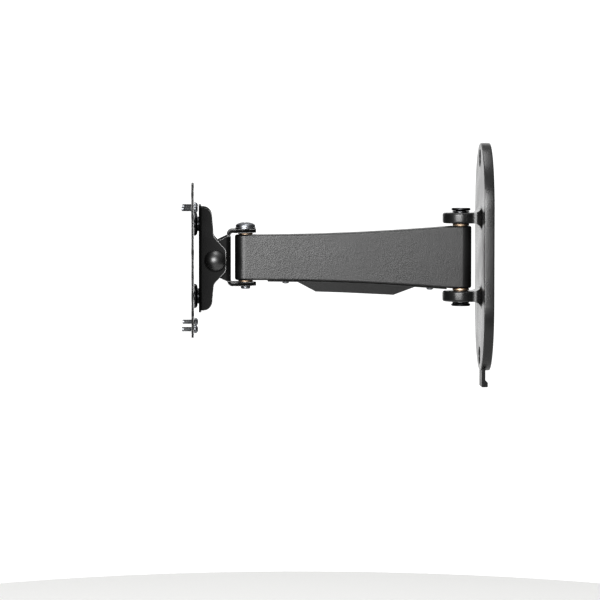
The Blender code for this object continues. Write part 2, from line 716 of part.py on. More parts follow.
def make_cover_screws():
    screws = []
    for name, out in cover_screw_places():
        seat = GAP + COVER_TAIL_THICKNESS + GAP
        top = seat + COVER_SCREW_HEAD_HEIGHT
        profile = dome(COVER_SCREW_HEAD_RADIUS, COVER_SCREW_DOME, top - COVER_SCREW_DOME, SCREW_DOME_STEPS)
        profile += [
            (COVER_SCREW_HEAD_RADIUS, seat),
            (COVER_SCREW_RADIUS, seat),
            (COVER_SCREW_RADIUS, -COVER_SCREW_LENGTH),
            (0, -COVER_SCREW_LENGTH),
        ]
        place = out_point(0, out, -arm_half_height(out))
        screws.append(finish(turned(name, profile, place, DOWN, SCREW_STEPS), BLACKED_STEEL))
    return screws


# ---------------------------------------------------------------- knuckle
def knuckle_ear_outline(far):
    """An ear in plan: wide at the web, and tapering to a round end about the pivot."""
    root = WEB_OUT - KNUCKLE_BEND
    corner = Vector((KNUCKLE_EAR_ROOT_HALF, root - HEAD_PIVOT_OUT))
    tangent = math.atan2(corner.y, corner.x) - math.acos(KNUCKLE_END_RADIUS / corner.length)
    end = arc(0, HEAD_PIVOT_OUT, KNUCKLE_END_RADIUS, tangent, -math.pi - tangent, KNUCKLE_END_STEPS)
    near = [(corner.x, far), (corner.x, root)]
    return near + end + [(-x, out) for x, out in reversed(near)]


def make_knuckle_bracket():
    """A web with two side flanges for the tilt bolt, and two ears bent back over the arm's end."""
    front = WEB_OUT + KNUCKLE_SHEET
    bend_inner = KNUCKLE_BEND - KNUCKLE_SHEET
    far = TILT_OUT + KNUCKLE_NOSE_RADIUS + OVERRUN
    half = KNUCKLE_HALF_WIDTH
    channel = rounded_outline([
        (half, far, 0),
        (half, WEB_OUT, KNUCKLE_BEND),
        (-half, WEB_OUT, KNUCKLE_BEND),
        (-half, far, 0),
        (-half + KNUCKLE_SHEET, far, 0),
        (-half + KNUCKLE_SHEET, front, bend_inner),
        (half - KNUCKLE_SHEET, front, bend_inner),
        (half - KNUCKLE_SHEET, far, 0),
    ])
    tall = KNUCKLE_HALF_HEIGHT + OVERRUN
    bracket = prism("knuckle_bracket", [channel], "plan", -tall, tall)

    # The side view of the flanges: a tall end at the web and a round nose about the tilt bolt.
    middle = -KNUCKLE_DROP
    top = middle + KNUCKLE_HALF_HEIGHT
    bottom = middle - KNUCKLE_HALF_HEIGHT
    shoulder = WEB_OUT + KNUCKLE_SHOULDER_OUT
    behind = WEB_OUT - OVERRUN
    turn = KNUCKLE_NOSE_HALF_TURN
    nose = arc(TILT_OUT, TILT_Z, KNUCKLE_NOSE_RADIUS, turn, -turn, KNUCKLE_NOSE_STEPS)
    side = [(behind, top), (front, top), (shoulder, top - KNUCKLE_SHOULDER_FALL)]
    side += nose
    side += [(shoulder, bottom + KNUCKLE_SHOULDER_FALL), (front, bottom), (behind, bottom)]
    width = half + OVERRUN
    keep_common(bracket, prism("knuckle_side", [side], "side", -width, width))

    # The ears, in side view, run back from the web on two bends.
    back = HEAD_PIVOT_OUT - KNUCKLE_END_RADIUS - OVERRUN
    ear_profile = rounded_outline([
        (back, KNUCKLE_EAR_OUTER, 0),
        (front, KNUCKLE_EAR_OUTER, KNUCKLE_BEND),
        (front, -KNUCKLE_EAR_OUTER, KNUCKLE_BEND),
        (back, -KNUCKLE_EAR_OUTER, 0),
        (back, -KNUCKLE_EAR_INNER, 0),
        (WEB_OUT, -KNUCKLE_EAR_INNER, bend_inner),
        (WEB_OUT, KNUCKLE_EAR_INNER, bend_inner),
        (back, KNUCKLE_EAR_INNER, 0),
    ])
    ear_width = KNUCKLE_EAR_ROOT_HALF + OVERRUN
    ears = prism("knuckle_ears", [ear_profile], "side", -ear_width, ear_width)
    plan = knuckle_ear_outline(front + OVERRUN)
    tall = KNUCKLE_EAR_OUTER + OVERRUN
    keep_common(ears, prism("knuckle_ears_plan", [plan], "plan", -tall, tall))
    join(bracket, ears)

    ear_top = out_point(0, HEAD_PIVOT_OUT, KNUCKLE_EAR_OUTER)
    drill(bracket, "knuckle_bolt_hole", ear_top, UP, BOLT_RADIUS + GAP, 2 * KNUCKLE_EAR_OUTER + OVERRUN)
    side_face = out_point(half, TILT_OUT, TILT_Z)
    drill(bracket, "knuckle_tilt_hole", side_face, RIGHT, TILT_BOLT_RADIUS + GAP, 2 * half + OVERRUN)
    return finish(bracket, POWDER_COAT)


def make_head_pivot_bolt():
    seat = KNUCKLE_EAR_OUTER + BOLT_WASHER_THICKNESS + 2 * GAP
    crown = BOLT_HEAD_HEIGHT - BOLT_HEAD_EDGE
    bottom = -KNUCKLE_EAR_OUTER - BOLT_TAIL
    profile = dome(BOLT_HEAD_RADIUS, crown, seat + BOLT_HEAD_EDGE, DOME_STEPS)
    profile += [
        (BOLT_HEAD_RADIUS, seat),
        (BOLT_RADIUS, seat),
        (BOLT_RADIUS, bottom + BOLT_CHAMFER),
        (BOLT_RADIUS - BOLT_CHAMFER, bottom),
        (0, bottom),
    ]
    bolt = turned("head_pivot_bolt", profile, out_point(0, HEAD_PIVOT_OUT, 0), UP)
    return finish(bolt, BLACKED_STEEL)


def ring(name, bore, radius, low, high, place, direction, look, steps=PIVOT_STEPS):
    profile = [(bore, high), (radius, high), (radius, low), (bore, low)]
    return finish(turned(name, profile, place, direction, steps), look)


def make_head_bolt_washer():
    place = out_point(0, HEAD_PIVOT_OUT, KNUCKLE_EAR_OUTER + GAP)
    bore = BOLT_RADIUS + GAP
    return ring(
        "head_bolt_washer", bore, BOLT_WASHER_RADIUS, 0, BOLT_WASHER_THICKNESS, place, UP, BLACKED_STEEL
    )


def make_tilt_spacer():
    half = KNUCKLE_HALF_WIDTH - KNUCKLE_SHEET - GAP
    bore = TILT_BOLT_RADIUS + GAP
    place = out_point(0, TILT_OUT, TILT_Z)
    return ring("tilt_spacer", bore, TILT_SPACER_RADIUS, -half, half, place, RIGHT, BRIGHT_STEEL)


# ---------------------------------------------------------------- tilt bracket
def bracket_side_outline():
    """The bracket in side view, as (out, height): a straight face, and flanges with an ear each."""
    def half(reach):
        """One half, from the face's end to the ear's tip, as distances from the tilt axis."""
        flange_end = reach - BRACKET_LIP
        face_back = BRACKET_FACE_OUT - BRACKET_SHEET
        return [
            (BRACKET_FACE_OUT, reach, 0),
            (face_back, reach, 0),
            (face_back, flange_end, 0),
            (BRACKET_REAR_TOP, flange_end, BRACKET_CORNER),
            (BRACKET_REAR_MIDDLE, BRACKET_WAIST, BRACKET_WAIST_ROUND),
            (-BRACKET_TIP, BRACKET_TIP_HALF, BRACKET_TIP_ROUND),
        ]

    upper = half(BRACKET_ABOVE)
    lower = [(out, -height, radius) for out, height, radius in reversed(half(BRACKET_BELOW))]
    outline = rounded_outline(upper + lower)
    return [(TILT_OUT + out, TILT_Z + height) for out, height in outline]


def stud_slot(x, low, high):
    """Slot with a round lower end about a stud."""
    bend = arc(x, low, STUD_SLOT_RADIUS, -math.pi, 0, SLOT_END_STEPS)
    return bend + [(x + STUD_SLOT_RADIUS, high), (x - STUD_SLOT_RADIUS, high)]


def make_tilt_bracket():
    half = BRACKET_HALF_WIDTH
    back = TILT_OUT - BRACKET_TIP - OVERRUN
    bend_inner = max(BRACKET_BEND - BRACKET_SHEET, 0.0005)
    channel = rounded_outline([
        (half, back, 0),
        (half, BRACKET_FRONT, BRACKET_BEND),
        (-half, BRACKET_FRONT, BRACKET_BEND),
        (-half, back, 0),
        (-BRACKET_INNER, back, 0),
        (-BRACKET_INNER, BRACKET_BACK, bend_inner),
        (BRACKET_INNER, BRACKET_BACK, bend_inner),
        (BRACKET_INNER, back, 0),
    ])
    low = TILT_Z - BRACKET_BELOW - OVERRUN
    high = TILT_Z + BRACKET_ABOVE + OVERRUN
    bracket = prism("tilt_bracket", [channel], "plan", low, high)
    width = half + OVERRUN
    keep_common(bracket, prism("bracket_side", [bracket_side_outline()], "side", -width, width))

    side_face = out_point(half, TILT_OUT, TILT_Z)
    drill(bracket, "bracket_tilt_hole", side_face, RIGHT, TILT_BOLT_RADIUS + GAP, 2 * half + OVERRUN)

    # The upper studs drop into slots open at the top, the lower ones enter by a hole and drop.
    entry_z = STUD_BOTTOM_Z + ENTRY_RISE
    sides = (-STUD_HALF_SPREAD, STUD_HALF_SPREAD)
    through = (BRACKET_BACK - OVERRUN, BRACKET_FRONT + OVERRUN)
    upper_slots = [stud_slot(x, STUD_TOP_Z, high) for x in sides]
    cut(bracket, prism("upper_stud_slots", upper_slots, "front", *through))
    lower_slots = [stud_slot(x, STUD_BOTTOM_Z, entry_z) for x in sides]
    cut(bracket, prism("lower_stud_slots", lower_slots, "front", *through))
    entries = [circle(x, entry_z, ENTRY_RADIUS, 24) for x in sides]
    cut(bracket, prism("stud_entries", entries, "front", *through))
    return finish(bracket, POWDER_COAT)


# ---------------------------------------------------------------- tilt joint
def make_tilt_bolt():
    """The head is on the far side and the nut on the near one."""
    seat = BRACKET_HALF_WIDTH + GAP
    top = seat + TILT_BOLT_HEAD_HEIGHT
    end = seat + TILT_SPRING_WASHER_THICKNESS + GAP + TILT_NUT_HEIGHT
    profile = [
        (0, top),
        (TILT_BOLT_HEAD_RADIUS * 0.8, top),
        (TILT_BOLT_HEAD_RADIUS, top - TILT_BOLT_HEAD_HEIGHT * 0.3),
        (TILT_BOLT_HEAD_RADIUS, seat),
        (TILT_BOLT_RADIUS, seat),
        (TILT_BOLT_RADIUS, -end),
        (0, -end),
    ]
    bolt = turned("tilt_bolt", profile, out_point(0, TILT_OUT, TILT_Z), LEFT, SCREW_STEPS)
    return finish(bolt, BRIGHT_STEEL)


def make_tilt_hardware():
    face = out_point(BRACKET_HALF_WIDTH, TILT_OUT, TILT_Z)
    bore = TILT_BOLT_RADIUS + GAP
    washer_top = GAP + TILT_SPRING_WASHER_THICKNESS
    spring_washer = ring(
        "tilt_spring_washer", bore, TILT_SPRING_WASHER_RADIUS, GAP, washer_top,
        face, RIGHT, BRIGHT_STEEL, SCREW_STEPS,
    )
    nut_face = face + RIGHT * (washer_top + GAP)
    hexagon = [(0, TILT_NUT_HEIGHT), (TILT_NUT_RADIUS, TILT_NUT_HEIGHT), (TILT_NUT_RADIUS, 0), (0, 0)]
    nut = turned("tilt_nut", hexagon, nut_face, RIGHT, 6)
    drill(nut, "tilt_nut_bore", nut_face, LEFT, bore, TILT_NUT_HEIGHT + OVERRUN, SCREW_STEPS)
    hardware = [spring_washer, finish(nut, BRIGHT_STEEL)]
    for name, side, direction in (("near", 1, RIGHT), ("far", -1, LEFT)):
        place = out_point(side * (KNUCKLE_HALF_WIDTH + GAP), TILT_OUT, TILT_Z)
        hardware.append(ring(
            "tilt_washer_" + name, bore, TILT_WASHER_RADIUS, 0, TILT_WASHER_THICKNESS,
            place, direction, NYLON,
        ))
    return hardware


def make_tilt_caps():
    """Thin domes over the nut and the bolt's head."""
    inner_height = TILT_CAP_HEIGHT - TILT_CAP_WALL
    outer = dome(TILT_CAP_RADIUS, TILT_CAP_HEIGHT, GAP, DOME_STEPS)
    inner = dome(TILT_CAP_RADIUS - TILT_CAP_WALL, inner_height, GAP, DOME_STEPS)
    caps = []
    for name, side, direction in (("near", 1, RIGHT), ("far", -1, LEFT)):
        place = out_point(side * BRACKET_HALF_WIDTH, TILT_OUT, TILT_Z)
        profile = outer + list(reversed(inner))
        caps.append(finish(turned("tilt_cap_" + name, profile, place, direction), BLACK_PLASTIC))
    return caps


# ---------------------------------------------------------------- screen plate
def screw_pattern(size):
    """The four (sideways, height) places of a square pattern of screen screws."""
    half = size / 2
    return [(x, PATTERN_Z + z) for x in (-half, half) for z in (-half, half)]


def stud_places():
    return [(x, z) for x in (-STUD_HALF_SPREAD, STUD_HALF_SPREAD) for z in (STUD_TOP_Z, STUD_BOTTOM_Z)]


def make_adapter_plate():
    half = ADAPTER_SIZE / 2
    middle = TILT_Z + ADAPTER_RISE
    corners = [(half, middle + half), (half, middle - half), (-half, middle - half), (-half, middle + half)]
    outline = rounded_outline([(x, z, ADAPTER_CORNER) for x, z in corners])
    holes = [
        circle(x, z, SCREEN_HOLE_RADIUS, SCREW_STEPS)
        for x, z in screw_pattern(PATTERN_LARGE) + screw_pattern(PATTERN_SMALL)
    ]
    holes += [circle(x, z, STUD_RIVET_RADIUS + GAP, SCREW_STEPS) for x, z in stud_places()]
    plate = prism("adapter_plate", [outline] + holes, "front", ADAPTER_BACK, ADAPTER_FRONT)
    return finish(plate, POWDER_COAT)


def make_plate_studs():
    """Each stud: a rivet in the plate, a domed base, a neck in the slot and a head behind it."""
    head_low = ADAPTER_STANDOFF + BRACKET_SHEET + GAP
    head_high = head_low + STUD_HEAD_HEIGHT
    shoulder = [
        (STUD_SHOULDER_RADIUS + reach, STUD_BASE_EDGE + height)
        for reach, height in dome(
            STUD_BASE_RADIUS - STUD_SHOULDER_RADIUS, STUD_SHOULDER_HEIGHT - STUD_BASE_EDGE, 0,
            STUD_SHOULDER_STEPS,
        )
    ]
    profile = [
        (0, head_high),
        (STUD_HEAD_RADIUS - STUD_CHAMFER, head_high),
        (STUD_HEAD_RADIUS, head_high - STUD_CHAMFER),
        (STUD_HEAD_RADIUS, head_low),
        (STUD_NECK_RADIUS, head_low),
        (STUD_NECK_RADIUS, STUD_SHOULDER_HEIGHT),
    ]
    profile += shoulder
    profile += [
        (STUD_BASE_RADIUS, GAP),
        (STUD_RIVET_RADIUS, GAP),
        (STUD_RIVET_RADIUS, -ADAPTER_THICKNESS),
        (0, -ADAPTER_THICKNESS),
    ]
    studs = []
    for index, (x, z) in enumerate(stud_places(), 1):
        place = out_point(x, ADAPTER_BACK, z)
        stud = turned(f"plate_stud_{index}", profile, place, TO_WALL, STUD_STEPS)
        studs.append(finish(stud, BLACKED_STEEL))
    return studs


def screen_screw(name, x, z):
    """A pan head screw whose head is on the plate's wall side."""
    head = SCREEN_SCREW_HEAD_RADIUS
    end = -ADAPTER_THICKNESS - SCREEN_SCREW_LENGTH
    crown = SCREEN_SCREW_HEAD_HEIGHT - SCREW_HEAD_EDGE
    profile = dome(head, crown, GAP + SCREW_HEAD_EDGE, SCREW_DOME_STEPS)
    profile += [
        (head, GAP),
        (SCREEN_SCREW_RADIUS, GAP),
        (SCREEN_SCREW_RADIUS, end),
        (0, end),
    ]
    place = out_point(x, ADAPTER_BACK, z)
    return finish(turned(name, profile, place, TO_WALL, SCREW_STEPS), BLACKED_STEEL)


def make_screen_screws():
    return [
        screen_screw(f"screen_screw_{index}", x, z)
        for index, (x, z) in enumerate(screw_pattern(PATTERN_LARGE), 1)
    ]


# ---------------------------------------------------------------- assembly
clear_scene()
parts = new_collection("full_motion_wall_mount")
cutters = new_collection("cutters")

wall_pieces = [
    make_wall_plate(),
    make_cable_hook(),
    make_wall_pin(),
    make_pin_collar(),
    ear_bush("ear_bush_upper", 1, UP),
    ear_bush("ear_bush_lower", -1, DOWN),
]
arm_pieces = [
    make_arm_body(),
    wall_bush("arm_bush_wall_upper", 1, UP),
    wall_bush("arm_bush_wall_lower", -1, DOWN),
    head_bush("arm_bush_head_upper", 1, UP),
    head_bush("arm_bush_head_lower", -1, DOWN),
    make_cable_cover(),
    *make_cover_screws(),
]
knuckle_pieces = [
    make_knuckle_bracket(),
    make_head_pivot_bolt(),
    make_head_bolt_washer(),
    make_tilt_spacer(),
]
head_pieces = [
    make_tilt_bracket(),
    make_tilt_bolt(),
    *make_tilt_hardware(),
    *make_tilt_caps(),
    make_adapter_plate(),
    *make_plate_studs(),
    *make_screen_screws(),
]

wall = put_on_axis("wall_axis", out_point(0, 0, 0), wall_pieces)
arm_axis = put_on_axis("wall_swivel_axis", out_point(0, WALL_PIVOT_OUT, 0), arm_pieces, wall)
knuckle_axis = put_on_axis("head_swivel_axis", out_point(0, HEAD_PIVOT_OUT, 0), knuckle_pieces, arm_axis)
put_on_axis("tilt_axis", out_point(0, TILT_OUT, TILT_Z), head_pieces, knuckle_axis)
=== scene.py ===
# %% [markdown]
# # A full motion wall mount for a small screen
#
# The mount is a cast plate on the wall, an arm that swivels on it, a bent steel knuckle that
# swivels on the arm, and a tilting head that carries the screen. The engineering model is loaded
# first and never changed. Around it this lesson makes the surfaces that are seen: castings with
# rounded edges, turned fasteners with their recesses, and a finish for every piece.

# %% Load the frame
import json
import math

import bmesh
import bpy
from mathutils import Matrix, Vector


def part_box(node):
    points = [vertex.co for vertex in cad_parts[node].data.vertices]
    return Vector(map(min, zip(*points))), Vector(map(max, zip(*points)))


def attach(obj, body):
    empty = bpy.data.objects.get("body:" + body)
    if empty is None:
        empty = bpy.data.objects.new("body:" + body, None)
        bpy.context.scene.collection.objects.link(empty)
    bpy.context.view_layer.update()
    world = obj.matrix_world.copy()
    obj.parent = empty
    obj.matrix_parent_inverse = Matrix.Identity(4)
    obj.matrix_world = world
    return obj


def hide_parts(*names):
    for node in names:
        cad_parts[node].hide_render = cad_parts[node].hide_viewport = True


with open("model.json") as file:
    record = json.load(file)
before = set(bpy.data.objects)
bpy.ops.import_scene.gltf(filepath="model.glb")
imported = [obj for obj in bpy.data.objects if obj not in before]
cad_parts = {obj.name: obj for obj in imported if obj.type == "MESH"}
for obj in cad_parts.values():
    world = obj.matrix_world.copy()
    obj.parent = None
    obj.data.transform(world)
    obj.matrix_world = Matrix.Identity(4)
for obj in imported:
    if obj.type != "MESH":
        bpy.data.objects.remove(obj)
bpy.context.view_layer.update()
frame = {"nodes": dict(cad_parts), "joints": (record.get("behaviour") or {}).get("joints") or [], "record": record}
print("nodes:", len(frame["nodes"]))

# %% [markdown]
# Every joint's place comes from the record, so that nothing here repeats a number that the
# engineering model already holds. The wall is the plane y = 0 and the screen is on the -Y side.

# %% The three pivots
PIVOTS = {joint["name"]: Vector(joint["pos_m"]) for joint in frame["joints"]}
WALL_PIVOT = PIVOTS["wall_swivel"]
HEAD_PIVOT = PIVOTS["head_swivel"]
TILT_PIVOT = PIVOTS["tilt"]
print("arm reach in mm:", round((WALL_PIVOT - HEAD_PIVOT).length * 1000, 1))

UP = Vector((0, 0, 1))
DOWN = Vector((0, 0, -1))
RIGHT = Vector((1, 0, 0))
LEFT = Vector((-1, 0, 0))
TO_WALL = Vector((0, 1, 0))


def box_size(node):
    """A node's width, depth and height."""
    low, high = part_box(node)
    return Vector(high) - Vector(low)


def box_middle(node):
    low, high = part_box(node)
    return (Vector(low) + Vector(high)) / 2


# %% [markdown]
# ## The camera
#
# A long lens far off keeps the parallel edges of the arm and the plate almost parallel. The camera
# looks along the screen plate, square to the mount's side, from a little above it, so that the
# upward faces of the ears show as thin lines.

# %% Camera
CAMERA_DISTANCE = 2.5
CAMERA_BESIDE_SCREEN = -0.2465
CAMERA_HEIGHT = 0.100
VIEW_HEIGHT = -0.0365
VIEW_MIDDLE = -0.1615
FIELD_WIDTH = 0.510

camera_data = bpy.data.cameras.new("camera")
camera = bpy.data.objects.new("camera", camera_data)
bpy.context.scene.collection.objects.link(camera)
camera.location = (CAMERA_DISTANCE, CAMERA_BESIDE_SCREEN, CAMERA_HEIGHT)
aim = Vector((0, VIEW_MIDDLE, VIEW_HEIGHT)) - camera.location
camera.rotation_euler = aim.to_track_quat("-Z", "Y").to_euler()
camera_data.lens = camera_data.sensor_width * aim.length / FIELD_WIDTH
camera_data.clip_end = 20
bpy.context.scene.camera = camera
print("lens in mm:", round(camera_data.lens, 1))

# %% [markdown]
# Shaders are sums. Two helpers add one step of a sum to any node tree, so that the lights' pattern
# and all the finishes below can be written as short lines.

# %% Node helpers
def math_in(group, operation, first, second):
    """A math node on two values, each a number or a socket."""
    node = group.nodes.new("ShaderNodeMath")
    node.operation = operation
    for socket, value in zip(node.inputs, (first, second)):
        if isinstance(value, (int, float)):
            socket.default_value = value
        else:
            group.links.new(value, socket)
    return node.outputs["Value"]


def range_in(group, value, low, high, new_low=0.0, new_high=1.0):
    node = group.nodes.new("ShaderNodeMapRange")
    node.interpolation_type = "SMOOTHSTEP"
    node.inputs["From Min"].default_value = low
    node.inputs["From Max"].default_value = high
    node.inputs["To Min"].default_value = new_low
    node.inputs["To Max"].default_value = new_high
    group.links.new(value, node.inputs["Value"])
    return node.outputs["Result"]


# %% [markdown]
# ## The studio
#
# Black parts are seen by what they reflect. One large soft box stands behind the camera, above it
# and to the screen's side: the flat sides reflect it as an even grey, the round cap as a spot. A
# long light overhead draws the bright line along the arm's top edge. The surroundings are white
# where the camera looks, dim elsewhere, and fairly bright straight above, so that faces that turn
# sideways or down stay nearly black.

# %% Lights
def soft_box(name, place, target, width, height, power):
    light = bpy.data.lights.new(name, "AREA")
    light.shape = "RECTANGLE"
    light.size = width
    light.size_y = height
    light.energy = power
    lamp = bpy.data.objects.new(name, light)
    bpy.context.scene.collection.objects.link(lamp)
    lamp.location = place
    lamp.rotation_euler = (Vector(target) - Vector(place)).to_track_quat("-Z", "Y").to_euler()
    return lamp


key_light = soft_box("key_light", (2.75, -0.95, 0.58), (0, -0.16, 0), 2.1, 1.4, 150)
top_light = soft_box("top_light", (0.1, -0.12, 1.2), (0, -0.12, 0), 0.35, 0.9, 6)
print("lights:", key_light.name, top_light.name)

# %% Surroundings
SIDE_LIGHT = 0.11
BACK_LIGHT = 1.7
BELOW_SHARE = 0.25
OVERHEAD_LIGHT = 0.55
world = bpy.data.worlds.new("studio")
bpy.context.scene.world = world
world.use_nodes = True
sky = world.node_tree
sky.nodes.clear()
direction = sky.nodes.new("ShaderNodeTexCoord")
parts_of_direction = sky.nodes.new("ShaderNodeSeparateXYZ")
sky.links.new(direction.outputs["Generated"], parts_of_direction.inputs["Vector"])
sideways, upward = parts_of_direction.outputs["X"], parts_of_direction.outputs["Z"]
behind = range_in(sky, sideways, -0.70, -0.97, SIDE_LIGHT, BACK_LIGHT)
not_below = range_in(sky, upward, -0.55, 0.05, BELOW_SHARE, 1.0)
overhead = range_in(sky, upward, 0.45, 0.85, 0.0, OVERHEAD_LIGHT)
brightness = math_in(sky, "ADD", math_in(sky, "MULTIPLY", behind, not_below), overhead)
surroundings = sky.nodes.new("ShaderNodeBackground")
sky.links.new(brightness, surroundings.inputs["Strength"])
backdrop = sky.nodes.new("ShaderNodeBackground")
backdrop.inputs["Strength"].default_value = 1.0
backdrop.inputs["Color"].default_value = (1, 1, 1, 1)
seen_directly = sky.nodes.new("ShaderNodeLightPath")
choice = sky.nodes.new("ShaderNodeMixShader")
sky.links.new(seen_directly.outputs["Is Camera Ray"], choice.inputs["Fac"])
sky.links.new(surroundings.outputs["Background"], choice.inputs[1])
sky.links.new(backdrop.outputs["Background"], choice.inputs[2])
sky_output = sky.nodes.new("ShaderNodeOutputWorld")
sky.links.new(choice.outputs["Shader"], sky_output.inputs["Surface"])

bpy.context.scene.view_settings.view_transform = "Standard"
bpy.context.scene.view_settings.look = "Medium High Contrast"
print("surroundings:", world.name)

# %% Floor
FLOOR_HEIGHT = -0.36
FLOOR_RADIUS = 0.62
bpy.ops.object.select_all(action="DESELECT")
floor_place = (0, VIEW_MIDDLE, FLOOR_HEIGHT)
bpy.ops.mesh.primitive_circle_add(
    vertices=96, radius=FLOOR_RADIUS, fill_type="NGON", location=floor_place
)
floor = bpy.context.active_object
floor.name = "floor"
floor_paint = bpy.data.materials.new("pale_floor")
floor_paint.use_nodes = True
floor_shader = floor_paint.node_tree.nodes["Principled BSDF"]
floor_shader.inputs["Base Color"].default_value = (0.80, 0.80, 0.79, 1)
floor_shader.inputs["Roughness"].default_value = 0.7
floor.data.materials.append(floor_paint)
print("floor at", FLOOR_HEIGHT)

# %% [markdown]
# ## Shared effects
#
# Three small node groups hold what most of the finishes have in common. Grain is the fine pebbling
# of a baked powder coat and of moulded plastic. Worn edges finds the narrow strips where a surface
# turns a corner: on most finishes that is where paint thins and metal is polished by handling, and
# on the bent sheet the same strips are a painted highlight, pale lines that stand in for the
# reflections its edges catch. Dust settles on faces that look up. Each is built once, and each
# material uses it with values of its own.


# %% A helper that starts a node group
def new_group(name, inputs, outputs):
    """An empty shader group with named number inputs and outputs."""
    group = bpy.data.node_groups.new(name, "ShaderNodeTree")
    for label, value in inputs:
        socket = group.interface.new_socket(label, in_out="INPUT", socket_type="NodeSocketFloat")
        socket.default_value = value
    for label in outputs:
        group.interface.new_socket(label, in_out="OUTPUT", socket_type="NodeSocketFloat")
    start = group.nodes.new("NodeGroupInput")
    end = group.nodes.new("NodeGroupOutput")
    return group, start, end


def noise_in(group, coordinates, scale, detail):
    """A noise texture. The scale is a number, or a socket of the group's input."""
    noise = group.nodes.new("ShaderNodeTexNoise")
    noise.inputs["Detail"].default_value = detail
    group.links.new(coordinates, noise.inputs["Vector"])
    if isinstance(scale, (int, float)):
        noise.inputs["Scale"].default_value = scale
    else:
        group.links.new(scale, noise.inputs["Scale"])
    return noise.outputs["Fac"]


# %% Grain
BLOTCH_SCALE = 38
grain, start, end = new_group("grain", [("Scale", 1400)], ["Height", "Blotches"])
place = grain.nodes.new("ShaderNodeTexCoord").outputs["Object"]
fine = noise_in(grain, place, start.outputs["Scale"], 3)
coarser = math_in(grain, "MULTIPLY", start.outputs["Scale"], 0.37)
broad = noise_in(grain, place, coarser, 2)
height = math_in(grain, "ADD", math_in(grain, "MULTIPLY", broad, 0.6), fine)
grain.links.new(height, end.inputs["Height"])
blotches = noise_in(grain, place, BLOTCH_SCALE, 4)
grain.links.new(range_in(grain, blotches, 0.3, 0.7), end.inputs["Blotches"])
print("group:", grain.name)

# %% [markdown]
# A Bevel node rounds the shading normal near an edge. Where it differs from the true normal, the
# point is on an edge, and broken up by noise that difference makes a believable mask of wear. On
# the bent sheet the same mask carries a painted highlight instead.

# %% Worn edges and painted edge highlight
PATCH_SCALE = 160
# The mask marks edges: worn paint on most finishes, a painted highlight on the bent sheet.
worn_edges, start, end = new_group("worn_edges", [("Width", 0.0012), ("Amount", 0.6)], ["Mask"])
rounded = worn_edges.nodes.new("ShaderNodeBevel")
rounded.samples = 4
worn_edges.links.new(start.outputs["Width"], rounded.inputs["Radius"])
surface = worn_edges.nodes.new("ShaderNodeNewGeometry")
agreement = worn_edges.nodes.new("ShaderNodeVectorMath")
agreement.operation = "DOT_PRODUCT"
worn_edges.links.new(rounded.outputs["Normal"], agreement.inputs[0])
worn_edges.links.new(surface.outputs["Normal"], agreement.inputs[1])
edge = range_in(worn_edges, agreement.outputs["Value"], 0.985, 0.86)
place = worn_edges.nodes.new("ShaderNodeTexCoord").outputs["Object"]
patches = range_in(worn_edges, noise_in(worn_edges, place, PATCH_SCALE, 5), 0.32, 0.58)
worn_and_highlit = math_in(worn_edges, "MULTIPLY", edge, patches)
worn_and_highlit = math_in(worn_edges, "MULTIPLY", worn_and_highlit, start.outputs["Amount"])
worn_edges.links.new(worn_and_highlit, end.inputs["Mask"])
print("group:", worn_edges.name)

# %% Settled dust
SPECKLE_SCALE = 420
dust, start, end = new_group("settled_dust", [("Amount", 0.2)], ["Mask"])
facing = dust.nodes.new("ShaderNodeNewGeometry")
parts_of_normal = dust.nodes.new("ShaderNodeSeparateXYZ")
dust.links.new(facing.outputs["Normal"], parts_of_normal.inputs["Vector"])
upward = range_in(dust, parts_of_normal.outputs["Z"], 0.55, 1.0)
place = dust.nodes.new("ShaderNodeTexCoord").outputs["Object"]
speckle = range_in(dust, noise_in(dust, place, SPECKLE_SCALE, 6), 0.35, 0.75)
settled = math_in(dust, "MULTIPLY", upward, speckle)
settled = math_in(dust, "MULTIPLY", settled, start.outputs["Amount"])
dust.links.new(settled, end.inputs["Mask"])
print("group:", dust.name)

# %% [markdown]
# ## Finishes
#
# All the finishes are built the same way: a colour that wanders a little between two tones, wear
# that uncovers what lies under it (on the bent sheet a pale painted highlight on the edges instead),
# dust on top, and a bump of fine grain. What makes each one its own is the values.


# %% A helper that builds a finish
def mix_colour(tree, mask, first, second):
    """Mixes two colours by a mask. The first is a colour or a socket."""
    node = tree.nodes.new("ShaderNodeMix")
    node.data_type = "RGBA"
    colours = [socket for socket in node.inputs if socket.type == "RGBA"]
    if isinstance(first, tuple):
        colours[0].default_value = (*first, 1)
    else:
        tree.links.new(first, colours[0])
    colours[1].default_value = (*second, 1)
    tree.links.new(mask, node.inputs["Factor"])
    return next(socket for socket in node.outputs if socket.type == "RGBA")


def use_group(tree, group, **values):
    node = tree.nodes.new("ShaderNodeGroup")
    node.node_tree = group
    for label, value in values.items():
        node.inputs[label].default_value = value
    return node


GRAIN_DEPTH = 0.0003
DUST_COLOUR = (0.32, 0.31, 0.29)
DUST_ROUGHNESS = 0.4


